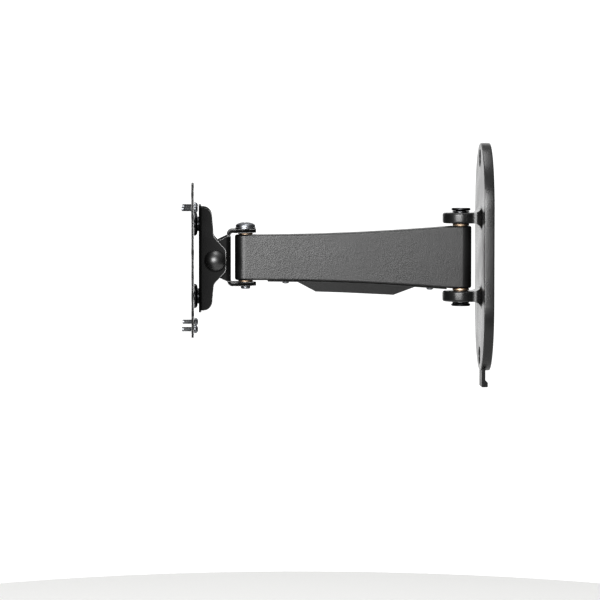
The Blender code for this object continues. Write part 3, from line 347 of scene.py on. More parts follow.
def finish_of(
    name, dark, light, edge_wear_and_highlight_colour, metallic, smooth, rough, grain_scale, bump, wear, dirt, sheen=0.5
):
    """A finish from two tones, its edge colour (metal under worn paint; on the bent sheet a painted highlight),
    its roughness range, its grain and its age.
    """
    material = bpy.data.materials.new(name)
    material.use_nodes = True
    tree = material.node_tree
    shader = tree.nodes["Principled BSDF"]
    texture = use_group(tree, grain, Scale=grain_scale)
    edges = use_group(tree, worn_edges, Amount=wear)
    film = use_group(tree, dust, Amount=dirt)
    colour = mix_colour(tree, texture.outputs["Blotches"], dark, light)
    # Edge colour by the edge mask: metal under worn paint, and on the bent sheet a painted highlight.
    colour = mix_colour(tree, edges.outputs["Mask"], colour, edge_wear_and_highlight_colour)
    colour = mix_colour(tree, film.outputs["Mask"], colour, DUST_COLOUR)
    tree.links.new(colour, shader.inputs["Base Color"])
    spread = range_in(tree, texture.outputs["Blotches"], 0, 1, smooth, rough)
    dullness = math_in(tree, "MULTIPLY", film.outputs["Mask"], DUST_ROUGHNESS)
    spread = math_in(tree, "ADD", spread, dullness)
    tree.links.new(spread, shader.inputs["Roughness"])
    shader.inputs["Metallic"].default_value = metallic
    shader.inputs["Specular IOR Level"].default_value = sheen
    raised = tree.nodes.new("ShaderNodeBump")
    raised.inputs["Strength"].default_value = bump
    raised.inputs["Distance"].default_value = GRAIN_DEPTH
    tree.links.new(texture.outputs["Height"], raised.inputs["Height"])
    tree.links.new(raised.outputs["Normal"], shader.inputs["Normal"])
    return material


# %% [markdown]
# The arm's powder coat is the greyest and the most pebbled surface. The castings of the wall plate
# wear the same paint, laid on thinner. The bent sheet of the two brackets is smoother and blacker;
# its pale edge colour, at the full amount of the edge mask, is a painted highlight for the bright
# lines that reflections draw along its edges and bends.

# %% The powder coats
arm_paint = finish_of(
    "arm_powder_coat", (0.006, 0.006, 0.006), (0.010, 0.010, 0.010), (0.09, 0.09, 0.09),
    metallic=0.0, smooth=0.34, rough=0.40, grain_scale=1100, bump=0.32, wear=0.5, dirt=0.03,
)
cast_paint = finish_of(
    "cast_powder_coat", (0.006, 0.006, 0.006), (0.009, 0.009, 0.009), (0.09, 0.09, 0.09),
    metallic=0.0, smooth=0.26, rough=0.32, grain_scale=1000, bump=0.10, wear=0.5, dirt=0.03,
)
# The pale grey on this finish's edges is a painted highlight along the sheet's edges and bends, not wear.
sheet_paint = finish_of(
    "sheet_powder_coat", (0.004, 0.004, 0.004), (0.007, 0.007, 0.007), (0.42, 0.42, 0.42),
    metallic=0.0, smooth=0.46, rough=0.54, grain_scale=1000, bump=0.10, wear=1.0, dirt=0.03, sheen=0.10,
)
print("paints:", arm_paint.name, cast_paint.name, sheet_paint.name)

# %% [markdown]
# Moulded plastic is smoother still and has no metal under it, so its edges only turn paler. The round
# caps have more of a sheen than the cover and the hook. The fasteners are steel with a black oxide,
# which rubs through to bright steel on their edges. The wall pin, the bushes of the ears and the
# studs are darker, because the oil of the oxide bath is still on them. The arm's bushes are sintered
# bronze: warm and a little porous.

# %% Plastic, steels, bronze and nylon
black_plastic = finish_of(
    "moulded_plastic", (0.005, 0.005, 0.005), (0.009, 0.009, 0.009), (0.05, 0.05, 0.05),
    metallic=0.0, smooth=0.34, rough=0.42, grain_scale=1500, bump=0.05, wear=0.5, dirt=0.03, sheen=0.18,
)
cap_plastic = finish_of(
    "satin_cap_plastic", (0.003, 0.003, 0.003), (0.006, 0.006, 0.006), (0.05, 0.05, 0.05),
    metallic=0.0, smooth=0.36, rough=0.42, grain_scale=1500, bump=0.05, wear=0.3, dirt=0.0, sheen=1.0,
)
blacked_steel = finish_of(
    "oxide_steel", (0.15, 0.156, 0.167), (0.23, 0.238, 0.250), (0.42, 0.42, 0.42),
    metallic=1.0, smooth=0.36, rough=0.50, grain_scale=2600, bump=0.06, wear=0.8, dirt=0.03,
)
dark_steel = finish_of(
    "oiled_oxide_steel", (0.030, 0.031, 0.033), (0.050, 0.051, 0.054), (0.16, 0.16, 0.16),
    metallic=1.0, smooth=0.30, rough=0.40, grain_scale=2600, bump=0.06, wear=0.6, dirt=0.0,
)
bronze = finish_of(
    "sintered_bronze", (0.32, 0.235, 0.165), (0.48, 0.365, 0.262), (0.62, 0.50, 0.38),
    metallic=1.0, smooth=0.42, rough=0.58, grain_scale=3200, bump=0.12, wear=0.5, dirt=0.0,
)
bright_steel = finish_of(
    "plated_steel", (0.48, 0.48, 0.49), (0.62, 0.62, 0.62), (0.74, 0.74, 0.73),
    metallic=1.0, smooth=0.24, rough=0.36, grain_scale=2600, bump=0.05, wear=0.5, dirt=0.0,
)
nylon = finish_of(
    "natural_nylon", (0.60, 0.59, 0.55), (0.70, 0.69, 0.65), (0.75, 0.74, 0.70),
    metallic=0.0, smooth=0.40, rough=0.50, grain_scale=1800, bump=0.06, wear=0.2, dirt=0.0,
)
PAINTS = {
    "powder_black_arm": arm_paint,
    "powder_black_cast": cast_paint,
    "powder_black_sheet": sheet_paint,
    "black_plastic": black_plastic,
    "blacked_steel": blacked_steel,
    "bronze": bronze,
    "bright_steel": bright_steel,
    "nylon": nylon,
}
SPECIAL_PAINTS = {
    "tilt_cap_near": cap_plastic,
    "tilt_cap_far": cap_plastic,
    "wall_pivot_pin": dark_steel,
    "wall_pin_collar": dark_steel,
    "ear_bush_upper": dark_steel,
    "ear_bush_lower": dark_steel,
}
for index in range(1, 5):
    SPECIAL_PAINTS[f"plate_stud_{index}"] = dark_steel
SLOTS = {part["node"]: part["material_slot"] for part in frame["record"]["subparts"]}
BODIES = {
    node: body for body, members in frame["record"]["behaviour"]["bodies"].items() for node in members
}
for node, slot_name in SLOTS.items():
    frame["nodes"][node].data.materials.clear()
    frame["nodes"][node].data.materials.append(SPECIAL_PAINTS.get(node, PAINTS[slot_name]))
print("finishes:", sorted(PAINTS))

# %% [markdown]
# ## Tools for the bench
#
# Every piece is made the way it would be by hand: something is selected, an operator changes it,
# and a modifier finishes it. These helpers only save repeating the same few clicks.


# %% Selecting and finishing helpers
def activate_none():
    """Goes back to object mode with nothing selected."""
    if bpy.context.mode != "OBJECT":
        bpy.ops.object.mode_set(mode="OBJECT")
    bpy.ops.object.select_all(action="DESELECT")


def activate(piece):
    """Makes the piece the only selected object, and the active one."""
    activate_none()
    piece.select_set(True)
    bpy.context.view_layer.objects.active = piece


def open_for_editing(piece, kind="VERT"):
    activate(piece)
    bpy.ops.object.mode_set(mode="EDIT")
    bpy.ops.mesh.select_mode(type=kind)


def choose(piece, kind, test):
    """In edit mode, selects only the verts, edges or faces that pass the test. Says how many."""
    bpy.ops.mesh.select_mode(type={"verts": "VERT", "edges": "EDGE", "faces": "FACE"}[kind])
    bpy.ops.mesh.select_all(action="DESELECT")
    mesh = bmesh.from_edit_mesh(piece.data)
    chosen = [part for part in getattr(mesh, kind) if test(part)]
    for part in chosen:
        part.select_set(True)
    mesh.select_flush_mode()
    bmesh.update_edit_mesh(piece.data)
    return len(chosen)


def edge_middle(edge):
    return (edge.verts[0].co + edge.verts[1].co) / 2


def apply_modifiers(piece):
    activate(piece)
    for name in [modifier.name for modifier in piece.modifiers]:
        bpy.ops.object.modifier_apply(modifier=name)


def smooth_below(piece, angle):
    """Shades the piece smooth across every edge that turns less than the angle, in degrees."""
    activate(piece)
    bpy.ops.object.shade_smooth_by_angle(angle=math.radians(angle))


def soften(piece, width, segments=3, angle=40):
    """Rounds the piece's hard edges and evens out its shading."""
    smooth_below(piece, angle)
    bevel = piece.modifiers.new("rounded edges", "BEVEL")
    bevel.width = width
    bevel.segments = segments
    bevel.limit_method = "ANGLE"
    bevel.angle_limit = math.radians(angle)
    bevel.miter_outer = "MITER_ARC"
    weighted = piece.modifiers.new("even shading", "WEIGHTED_NORMAL")
    weighted.keep_sharp = True
    apply_modifiers(piece)
    smooth_below(piece, angle)


def carve(piece, cutter, operation="DIFFERENCE"):
    """Cuts the cutter out of the piece, or joins it, and throws the cutter away."""
    boolean = piece.modifiers.new("carve", "BOOLEAN")
    boolean.object = cutter
    boolean.operation = operation
    apply_modifiers(piece)
    bpy.data.objects.remove(cutter, do_unlink=True)


def stand_in(piece, *node_names):
    """The piece takes the body, the finish slot and the place of its CAD nodes."""
    body = BODIES[node_names[0]]
    slot_name = SLOTS[node_names[0]]
    piece.data.materials.clear()
    piece.data.materials.append(SPECIAL_PAINTS.get(node_names[0], PAINTS[slot_name]))
    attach(piece, body)
    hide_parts(*node_names)


def triangles(piece):
    return sum(len(face.vertices) - 2 for face in piece.data.polygons)


# %% [markdown]
# ## Castings and bent sheet
#
# The wall plate, the brackets, the screen plate and the cable cover already have the right outline
# in the engineering model. What they lack is the radius that a mould or a press leaves on every
# edge, and that is what catches the light. So a copy of each is cleaned: its loose triangles are
# merged, the flat ones dissolve into whole faces, and every hard edge is rounded.


# %% A helper for shells
def shell_from(node, name, width, segments=3, angle=40, broad=None):
    """A cleaned copy of a node. The edges that the broad test picks get a radius of their own."""
    source = frame["nodes"][node]
    piece = bpy.data.objects.new(name, source.data.copy())
    bpy.context.scene.collection.objects.link(piece)
    activate(piece)
    bpy.ops.mesh.customdata_custom_splitnormals_clear()
    open_for_editing(piece)
    bpy.ops.mesh.select_all(action="SELECT")
    bpy.ops.mesh.remove_doubles(threshold=0.000005)
    bpy.ops.mesh.dissolve_limited(angle_limit=math.radians(0.6))
    if broad:
        test, radius = broad
        found = choose(piece, "edges", test)
        bpy.ops.mesh.bevel(offset=radius, segments=4)
        print(name, "broad edges:", found)
    bpy.ops.object.mode_set(mode="OBJECT")
    soften(piece, width, segments, angle)
    stand_in(piece, node)
    print(name, "triangles:", triangles(piece))
    return piece


# %% [markdown]
# The ears of the wall plate are handled most, and their outer rims are rounded more than the rest.
# The test below finds those rims: edges of the ears' flat faces, well out from the plate. The bushes
# tell where the flat faces are, because each flange stands one clearance off its ear.

# %% Shells from the frame
GAP = 0.0003
EAR_FLANGE = 0.0010
HEAD_FLANGE = 0.0010
WALL_FLANGE = 0.0017
EAR_ROOT = -0.0165
EAR_RIM_FROM_PIN = 0.010
EAR_RIM_RADIUS = 0.0018
EAR_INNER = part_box("arm_bush_wall_upper")[1][2] + GAP
EAR_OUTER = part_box("ear_bush_upper")[1][2] - EAR_FLANGE - GAP


def on_ear_rim(edge):
    """The outer rims of the ears' flat faces, past the fillets at the plate."""
    for vert in edge.verts:
        level = min(abs(abs(vert.co.z) - EAR_INNER), abs(abs(vert.co.z) - EAR_OUTER))
        if level > 0.0001 or vert.co.y > EAR_ROOT:
            return False
    from_pin = edge_middle(edge) - WALL_PIVOT
    from_pin.z = 0
    return from_pin.length > EAR_RIM_FROM_PIN and edge.calc_face_angle(0) > math.radians(50)


shell_from("wall_plate", "wall_plate_casting", 0.0007, broad=(on_ear_rim, EAR_RIM_RADIUS))
shell_from("tilt_bracket", "tilt_bracket_sheet", 0.00035)
shell_from("knuckle_bracket", "knuckle_sheet", 0.00045)
shell_from("adapter_plate", "screen_plate_sheet", 0.0003)
shell_from("cable_cover", "cable_cover_moulding", 0.0005)
shell_from("cable_hook", "cable_hook_moulding", 0.0004)

# %% [markdown]
# ## The arm
#
# The arm is the largest surface, and its long side must be perfectly flat while its ends are
# perfectly round, so it is modelled afresh. It starts as an upright cylinder at the head pivot. The
# half of it that faces the wall is moved along to the wall pivot, which draws the sides out
# straight. Cuts across it then give rings that can be made taller, more and more towards the wall.

# %% The arm's body
ARM_RINGS = 28
arm_size = box_size("arm_body")
arm_radius = arm_size.x / 2
wall_half = arm_size.z / 2
head_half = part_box("arm_bush_head_upper")[1][2] - HEAD_FLANGE - GAP
CURVE_POWER = 1.9
EDGE_RADIUS = 0.0017
flat_from = HEAD_PIVOT.y + arm_radius
flat_to = WALL_PIVOT.y - arm_radius


def arm_half_height(y):
    share = (y - flat_from) / (flat_to - flat_from)
    share = min(1, max(0, share))
    return head_half + (wall_half - head_half) * share**CURVE_POWER


activate_none()
bpy.ops.mesh.primitive_cylinder_add(
    vertices=96, radius=arm_radius, depth=2 * head_half, location=HEAD_PIVOT
)
arm = bpy.context.active_object
arm.name = "arm_casting"
bpy.ops.object.transform_apply(location=True, rotation=True, scale=True)
open_for_editing(arm)
choose(arm, "verts", lambda vert: vert.co.y > HEAD_PIVOT.y + 0.0001)
bpy.ops.transform.translate(value=WALL_PIVOT - HEAD_PIVOT)
stations = [flat_from + (flat_to - flat_from) * index / ARM_RINGS for index in range(ARM_RINGS + 1)]
for station in stations:
    bpy.ops.mesh.select_all(action="SELECT")
    bpy.ops.mesh.bisect(plane_co=(0, station, 0), plane_no=(0, 1, 0))
mesh = bmesh.from_edit_mesh(arm.data)
for vert in mesh.verts:
    vert.co.z *= arm_half_height(vert.co.y) / head_half
bmesh.update_edit_mesh(arm.data)
choose(arm, "edges", lambda edge: edge.calc_face_angle(0) > math.radians(60))
bpy.ops.mesh.bevel(offset=EDGE_RADIUS, segments=6)
bpy.ops.object.mode_set(mode="OBJECT")
print("arm height in mm, head and wall:", round(2000 * head_half, 1), round(2000 * wall_half, 1))

# %% [markdown]
# The hollow underneath, where the cables lie, is cut with a plain block, and the two bores with
# cylinders. The cutters reach past the surface, so that the cut leaves no skin.

# %% Hollow and bores
POCKET_WALL = 0.0025
POCKET_FROM_HEAD_PIVOT = 0.043
POCKET_FROM_WALL_PIVOT = 0.036
POCKET_ROOF = 0.003
POCKET_CORNER = 0.003
OVERRUN = 0.002
WALL_SLEEVE = 0.0058
HEAD_SLEEVE = 0.0053
COVER_SCREW_BORE = 0.0017
COVER_SCREW_BORE_DEPTH = 0.0235
pocket_low_y = HEAD_PIVOT.y + POCKET_FROM_HEAD_PIVOT
pocket_high_y = WALL_PIVOT.y - POCKET_FROM_WALL_PIVOT
pocket_top = head_half - POCKET_ROOF
pocket_bottom = -wall_half - OVERRUN
pocket_middle = (0, (pocket_low_y + pocket_high_y) / 2, (pocket_top + pocket_bottom) / 2)
activate_none()
bpy.ops.mesh.primitive_cube_add(size=1, location=pocket_middle)
block = bpy.context.active_object
block.scale = (
    2 * (arm_radius - POCKET_WALL), pocket_high_y - pocket_low_y, pocket_top - pocket_bottom
)
bpy.ops.object.transform_apply(location=True, rotation=True, scale=True)
open_for_editing(block)
choose(block, "edges", lambda edge: abs(edge.verts[0].co.z - edge.verts[1].co.z) > 0.01)
bpy.ops.mesh.bevel(offset=POCKET_CORNER, segments=5)
bpy.ops.object.mode_set(mode="OBJECT")
carve(arm, block)
for pivot, sleeve in ((WALL_PIVOT, WALL_SLEEVE), (HEAD_PIVOT, HEAD_SLEEVE)):
    activate_none()
    bpy.ops.mesh.primitive_cylinder_add(
        vertices=64, radius=sleeve + GAP, depth=2 * wall_half + 5 * OVERRUN, location=pivot
    )
    carve(arm, bpy.context.active_object)
for screw in ("cover_screw_wall", "cover_screw_head"):
    middle = box_middle(screw)
    activate_none()
    bpy.ops.mesh.primitive_cylinder_add(
        vertices=32, radius=COVER_SCREW_BORE, depth=COVER_SCREW_BORE_DEPTH, location=middle
    )
    carve(arm, bpy.context.active_object)
soften(arm, 0.0004, 2)
stand_in(arm, "arm_body")
print("arm triangles:", triangles(arm))

# %% [markdown]
# ## Turned pieces
#
# Pins, bolts, caps, bushes and screw heads are all round, so they are all made on the lathe: a
# vertex is extruded from point to point along half the section, and the line is spun once round.
# Where the piece is solid the line starts and ends on the axis; where it is a ring it closes on
# itself. Recesses for keys and screwdrivers are cut afterwards.


# %% The lathe
def lathe(name, profile, steps=64):
    """Spins a profile of (radius, height) points about Z at the origin."""
    activate_none()
    bpy.ops.mesh.primitive_plane_add(size=0.001)
    piece = bpy.context.active_object
    piece.name = name
    open_for_editing(piece)
    bpy.ops.mesh.select_all(action="SELECT")
    bpy.ops.mesh.merge(type="CENTER")
    here = Vector((0, 0, 0))
    first = Vector((profile[0][0], 0, profile[0][1]))
    bpy.ops.transform.translate(value=first - here)
    here = first
    for radius, height in profile[1:]:
        there = Vector((radius, 0, height))
        bpy.ops.mesh.extrude_vertices_move(TRANSFORM_OT_translate={"value": there - here})
        here = there
    if profile[0][0] > 0:
        bpy.ops.mesh.extrude_vertices_move(TRANSFORM_OT_translate={"value": first - here})
    bpy.ops.mesh.select_all(action="SELECT")
    bpy.ops.mesh.spin(steps=steps, angle=math.tau, center=(0, 0, 0), axis=(0, 0, 1))
    bpy.ops.mesh.select_all(action="SELECT")
    bpy.ops.mesh.remove_doubles(threshold=0.000005)
    bpy.ops.mesh.normals_make_consistent(inside=False)
    bpy.ops.object.mode_set(mode="OBJECT")
    return piece


def copy_of(piece, name):
    """A copy with its own mesh."""
    twin = piece.copy()
    twin.data = piece.data.copy()
    twin.name = name
    bpy.context.scene.collection.objects.link(twin)
    return twin


def seat(piece, place, direction):
    """Turns a piece made at the origin to its direction, moves it to its place and applies both."""
    piece.rotation_mode = "QUATERNION"
    piece.rotation_quaternion = UP.rotation_difference(direction)
    piece.location = place
    activate(piece)
    bpy.ops.object.transform_apply(location=True, rotation=True, scale=True)


def curve_points(radius_from, height_from, radius_to, height_to, steps):
    """A quarter of an ellipse between two points, leaving the first one level."""
    points = []
    for index in range(steps + 1):
        angle = math.pi / 2 * index / steps
        radius = radius_from + (radius_to - radius_from) * math.sin(angle)
        points.append((radius, height_to + (height_from - height_to) * math.cos(angle)))
    return points


def prism_cutter(vertices, radius, low, high):
    """An upright bar, for sockets and recesses."""
    activate_none()
    bpy.ops.mesh.primitive_cylinder_add(
        vertices=vertices, radius=radius, depth=high - low, location=(0, 0, (high + low) / 2)
    )
    bpy.ops.object.transform_apply(location=True, rotation=True, scale=True)
    return bpy.context.active_object


# %% [markdown]
# ### The pivot bolt of the head
#
# A shoulder bolt with a low domed head. Such bolts have a hexagon socket in the crown, which is how
# it is tightened once the arm is in place, and a chamfered tip.

# %% Shoulder bolt
BOLT_SHANK = 0.004
BOLT_CHAMFER = 0.0007
BOLT_EDGE = 0.0011
SOCKET_RADIUS = 0.0029
SOCKET_DEPTH = 0.0028


def bolt_profile():
    low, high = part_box("head_pivot_bolt")
    radius = (high[0] - low[0]) / 2
    seat_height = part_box("head_bolt_washer")[1][2] + GAP
    dome = curve_points(0, high[2], radius, seat_height + BOLT_EDGE, 10)
    tip = low[2]
    return dome + [
        (radius, seat_height),
        (BOLT_SHANK, seat_height),
        (BOLT_SHANK, tip + BOLT_CHAMFER),
        (BOLT_SHANK - BOLT_CHAMFER, tip),
        (0, tip),
    ]


bolt = lathe("shoulder_bolt", bolt_profile(), 72)
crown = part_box("head_pivot_bolt")[1][2]
carve(bolt, prism_cutter(6, SOCKET_RADIUS, crown - SOCKET_DEPTH, crown + OVERRUN / 2))
seat(bolt, Vector((0, HEAD_PIVOT.y, 0)), UP)
soften(bolt, 0.00022, 2)
stand_in(bolt, "head_pivot_bolt")
print("shoulder bolt triangles:", triangles(bolt))

# %% [markdown]
# ### The wall pin and its collar
#
# The pin drops through both ears and hangs by a flat head. Its lower end is riveted over a collar
# of the same size, so the two discs look alike, but only the lower one shows the rivet. Both have a
# shallow dish that the turning tool left.

# %% Pin and collar
pin_low, pin_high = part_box("wall_pivot_pin")
collar_low, collar_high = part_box("wall_pin_collar")
PIN_RADIUS = 0.0045
RIVET_RADIUS = 0.003
DISH = 0.0003
head_radius = (pin_high[0] - pin_low[0]) / 2
head_seat = -collar_high[2]
disc = pin_high[2] - head_seat
pin = lathe("turned_wall_pin", [
    (0, pin_high[2] - DISH),
    (head_radius * 0.60, pin_high[2]),
    (head_radius * 0.90, pin_high[2]),
    (head_radius, pin_high[2] - disc * 0.40),
    (head_radius * 0.97, pin_high[2] - disc * 0.62),
    (head_radius * 0.84, head_seat),
    (PIN_RADIUS, head_seat),
    (PIN_RADIUS, collar_high[2] + GAP),
    (RIVET_RADIUS, collar_high[2] + GAP),
    (RIVET_RADIUS, collar_low[2]),
    (RIVET_RADIUS * 0.8, pin_low[2]),
    (0, pin_low[2]),
])
seat(pin, Vector((0, WALL_PIVOT.y, 0)), UP)
soften(pin, 0.00018, 2)
stand_in(pin, "wall_pivot_pin")

collar = lathe("turned_pin_collar", [
    (RIVET_RADIUS + GAP, disc - 2 * DISH),
    (head_radius * 0.60, disc),
    (head_radius * 0.90, disc),
    (head_radius, disc * 0.60),
    (head_radius * 0.97, disc * 0.38),
    (head_radius * 0.84, 0),
    (RIVET_RADIUS + GAP, 0),
])
seat(collar, Vector((0, WALL_PIVOT.y, collar_high[2])), DOWN)
soften(collar, 0.00018, 2)
stand_in(collar, "wall_pin_collar")
print("pin and collar triangles:", triangles(pin), triangles(collar))

# %% [markdown]
# ### Bushes
#
# Each bush is a thin sleeve with a flange that keeps painted metal off painted metal. The ears have
# steel ones. The bronze flanges at the arm's ends are the only warm colour on the mount. Six are
# needed in three sizes, so one function turns them from the size of their nodes.


# %% Flanged bushes
WALL_BORE = PIN_RADIUS + GAP
HEAD_BORE = BOLT_SHANK + GAP
BUSH_CHAMFER = 0.0002


def turn_bush(node, name, pivot, direction, bore, sleeve, flange):
    low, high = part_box(node)
    flange_radius = (high[0] - low[0]) / 2
    if direction is UP:
        top, bottom = high[2], low[2]
    else:
        top, bottom = -low[2], -high[2]
    bush = lathe(name, [
        (bore + BUSH_CHAMFER, top),
        (flange_radius - BUSH_CHAMFER, top),
        (flange_radius, top - BUSH_CHAMFER),
        (flange_radius, top - flange),
        (sleeve, top - flange),
        (sleeve, bottom),
        (bore, bottom),
        (bore, top - BUSH_CHAMFER),
    ])
    seat(bush, Vector((0, pivot.y, 0)), direction)
    soften(bush, 0.00012, 2)
    stand_in(bush, node)
    return bush


for place, pivot, bore, sleeve, flange in (
    ("ear", WALL_PIVOT, WALL_BORE, WALL_SLEEVE, EAR_FLANGE),
    ("wall", WALL_PIVOT, WALL_BORE, WALL_SLEEVE, WALL_FLANGE),
    ("head", HEAD_PIVOT, HEAD_BORE, HEAD_SLEEVE, HEAD_FLANGE),
):
    for end, direction in (("upper", UP), ("lower", DOWN)):
        node = f"ear_bush_{end}" if place == "ear" else f"arm_bush_{place}_{end}"
        name = f"{place}_bush_turned_{end}"
        bush = turn_bush(node, name, pivot, direction, bore, sleeve, flange)
print("last bush triangles:", triangles(bush))

# %% [markdown]
# ### The caps of the tilt joint
#
# The two caps are thin moulded domes, a little more than round at the rim, where they grip. They
# hide the nut and the bolt's head. The inside of each is hollow, and shows only if it is taken off.

# %% Round caps
cap_low, cap_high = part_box("tilt_cap_near")
cap_radius = (cap_high[2] - cap_low[2]) / 2
cap_height = cap_high[0] - cap_low[0]
CAP_WALL = 0.0008
RIM_HEIGHT = 0.0010
CAP_ROUNDING = 0.0002
outer = curve_points(0, cap_height, cap_radius, RIM_HEIGHT, 16) + [(cap_radius, 0)]
inner_radius = cap_radius - CAP_WALL
inner = curve_points(0, cap_height - CAP_WALL, inner_radius, RIM_HEIGHT, 12) + [(inner_radius, 0)]
cap = lathe("round_cap_near", outer + list(reversed(inner)), 72)
far_cap = copy_of(cap, "round_cap_far")
seat(cap, Vector((cap_low[0], TILT_PIVOT.y, TILT_PIVOT.z)), RIGHT)
seat(far_cap, Vector((-cap_low[0], TILT_PIVOT.y, TILT_PIVOT.z)), LEFT)
for piece, node in ((cap, "tilt_cap_near"), (far_cap, "tilt_cap_far")):
    soften(piece, CAP_ROUNDING, 2)
    stand_in(piece, node)
print("cap triangles:", triangles(cap))

# %% [markdown]
# ### Screws with a cross recess
#
# The screen screws and the two screws of the cable cover have pan heads. The head is turned, and the
# cross is cut with two tapered bars at right angles. The screen screw is modelled once and copied,
# and its thread, which stands out of the plate, is real ridges.

# %% Pan head screws
THREAD_DEPTH = 0.00025
PITCH = 0.0007


def cross_recess(width, length, top, depth):
    """Two crossed bars, narrower at the bottom, joined into one cutter."""
    bars = []
    for turn in (0, math.pi / 2):
        activate_none()
        bpy.ops.mesh.primitive_cube_add(size=1, location=(0, 0, top - depth / 2), rotation=(0, 0, turn))
        bar = bpy.context.active_object
        bar.scale = (length, width, depth * 1.2)
        bpy.ops.object.transform_apply(location=True, rotation=True, scale=True)
        open_for_editing(bar)
        choose(bar, "verts", lambda vert: vert.co.z < top - depth * 0.6)
        bpy.ops.transform.resize(value=(0.45, 0.45, 1))
        bpy.ops.object.mode_set(mode="OBJECT")
        bars.append(bar)
    carve(bars[0], bars[1], "UNION")
    return bars[0]


def pan_screw(name, head, height, shank, length, bottom, ridges):
    """A screw whose head's underside is at bottom and whose shank reaches down to -length."""
    top = bottom + height
    profile = curve_points(0, top, head, bottom + height * 0.35, 8)
    profile += [(head, bottom), (shank, bottom)]
    if ridges:
        turns = int((length - 0.001) / PITCH)
        for index in range(turns):
            start_height = -0.0005 - index * PITCH
            profile.append((shank - THREAD_DEPTH, start_height))
            profile.append((shank, start_height - PITCH / 2))
        profile.append((shank - THREAD_DEPTH, -length + 0.0002))
        profile.append((shank - 2 * THREAD_DEPTH, -length))
    else:
        profile.append((shank, -length))
    profile.append((0, -length))
    screw = lathe(name, profile, 40)
    carve(screw, cross_recess(head * 0.26, head * 1.05, top + 0.0001, height * 0.62))
    return screw


SCREEN_SCREW_SHANK = 0.002
COVER_SCREW_SHANK = 0.0014
COVER_SCREW_HEAD = 0.0016
wall_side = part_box("adapter_plate")[1][1]
screw_low, screw_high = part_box("screen_screw_1")
head_size = (screw_high[0] - screw_low[0]) / 2
head_height = screw_high[1] - wall_side - GAP
screw_length = wall_side - screw_low[1]
pattern = pan_screw(
    "screen_screw_pattern", head_size, head_height, SCREEN_SCREW_SHANK, screw_length, GAP, True
)
smooth_below(pattern, 30)
for index in range(1, 5):
    node = f"screen_screw_{index}"
    middle = box_middle(node)
    screw = copy_of(pattern, f"cross_screw_{index}")
    seat(screw, Vector((middle.x, wall_side, middle.z)), TO_WALL)
    stand_in(screw, node)
bpy.data.objects.remove(pattern, do_unlink=True)
print("screen screw triangles:", triangles(screw))

for node in ("cover_screw_wall", "cover_screw_head"):
    low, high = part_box(node)
    head = (high[0] - low[0]) / 2
    length = high[2] - low[2] - COVER_SCREW_HEAD
    screw = pan_screw("cross_" + node, head, COVER_SCREW_HEAD, COVER_SCREW_SHANK, length, 0, False)
    seat(screw, Vector((0, (low[1] + high[1]) / 2, low[2] + COVER_SCREW_HEAD)), DOWN)
    smooth_below(screw, 30)
    stand_in(screw, node)
print("cover screw triangles:", triangles(screw))

# %% [markdown]
# ### The studs of the screen plate
#
# The screen plate hangs on four headed studs. Each has a domed base where it stands on the plate, a
# plain neck for the slot in the tilt bracket, and a head behind it. Its rivet is flush in the
# screen side of the plate.

# %% Headed studs
stud_low, stud_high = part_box("plate_stud_1")
STUD_NECK = 0.00575
STUD_HEAD = 0.0075
STUD_HEAD_THICKNESS = 0.002
STUD_HEAD_CHAMFER = 0.0008
STUD_RIVET = 0.003
SHOULDER_RADIUS = 0.0064
SHOULDER_HEIGHT = 0.0031
BASE_EDGE = 0.0009
base_radius = (stud_high[0] - stud_low[0]) / 2
stud_top = stud_high[1] - wall_side
head_under = stud_top - STUD_HEAD_THICKNESS
plate_depth = wall_side - stud_low[1]
shoulder = curve_points(SHOULDER_RADIUS, SHOULDER_HEIGHT, base_radius, BASE_EDGE, 8)
stud_pattern = lathe("stud_pattern", [
    (0, stud_top),
    (STUD_HEAD - STUD_HEAD_CHAMFER, stud_top),
    (STUD_HEAD, stud_top - STUD_HEAD_CHAMFER),
    (STUD_HEAD, head_under),
    (STUD_NECK, head_under),
    (STUD_NECK, SHOULDER_HEIGHT),
] + shoulder + [
    (base_radius, GAP),
    (STUD_RIVET, GAP),
    (STUD_RIVET, -plate_depth),
    (0, -plate_depth),
])
for index in range(1, 5):
    node = f"plate_stud_{index}"
    middle = box_middle(node)
    stud = copy_of(stud_pattern, f"headed_stud_{index}")
    seat(stud, Vector((middle.x, wall_side, middle.z)), TO_WALL)
    soften(stud, 0.00015, 2)
    stand_in(stud, node)
bpy.data.objects.remove(stud_pattern, do_unlink=True)
print("stud triangles:", triangles(stud))

# %% [markdown]
# ### The clamp of the tilt joint
#
# Under the caps a socket bolt clamps the two brackets through a spacer tube, with nylon washers for
# smooth friction and a split spring washer that keeps the nut tight. None of it shows at rest, but
# it is all there for whoever takes the caps off.

# %% Washers and spacer
def turn_ring(node, name, axis, outer, bore, edge):
    """A plain ring on its axis, with its edges broken."""
    low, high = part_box(node)
    index = {"x": 0, "z": 2}[axis]
    thickness = high[index] - low[index]
    ring = lathe(name, [
        (bore + edge, thickness),
        (outer - edge, thickness),
        (outer, thickness - edge),
        (outer, edge),
        (outer - edge, 0),
        (bore + edge, 0),
        (bore, edge),
        (bore, thickness - edge),
    ])
    middle = box_middle(node)
    middle[index] = low[index]
    seat(ring, middle, {"x": RIGHT, "z": UP}[axis])
    smooth_below(ring, 30)
    stand_in(ring, node)
    return ring


def half_size(node):
    return box_size(node).y / 2


TILT_BORE = 0.0033
ring_sizes = (
    ("head_bolt_washer", "turned_head_washer", "z", HEAD_BORE, 0.0001),
    ("tilt_spacer", "turned_tilt_spacer", "x", TILT_BORE, 0.0004),
    ("tilt_washer_near", "nylon_washer_near", "x", TILT_BORE, 0.00015),
    ("tilt_washer_far", "nylon_washer_far", "x", TILT_BORE, 0.00015),
)
for node, name, axis, bore, edge in ring_sizes:
    ring = turn_ring(node, name, axis, half_size(node), bore, edge)
    print(name, "triangles:", triangles(ring))

# %% [markdown]
# The nut is a hexagon with its corners turned off. A hexagon bar is cut with the lathe: what lies
# inside both the bar and a turned cone is kept.

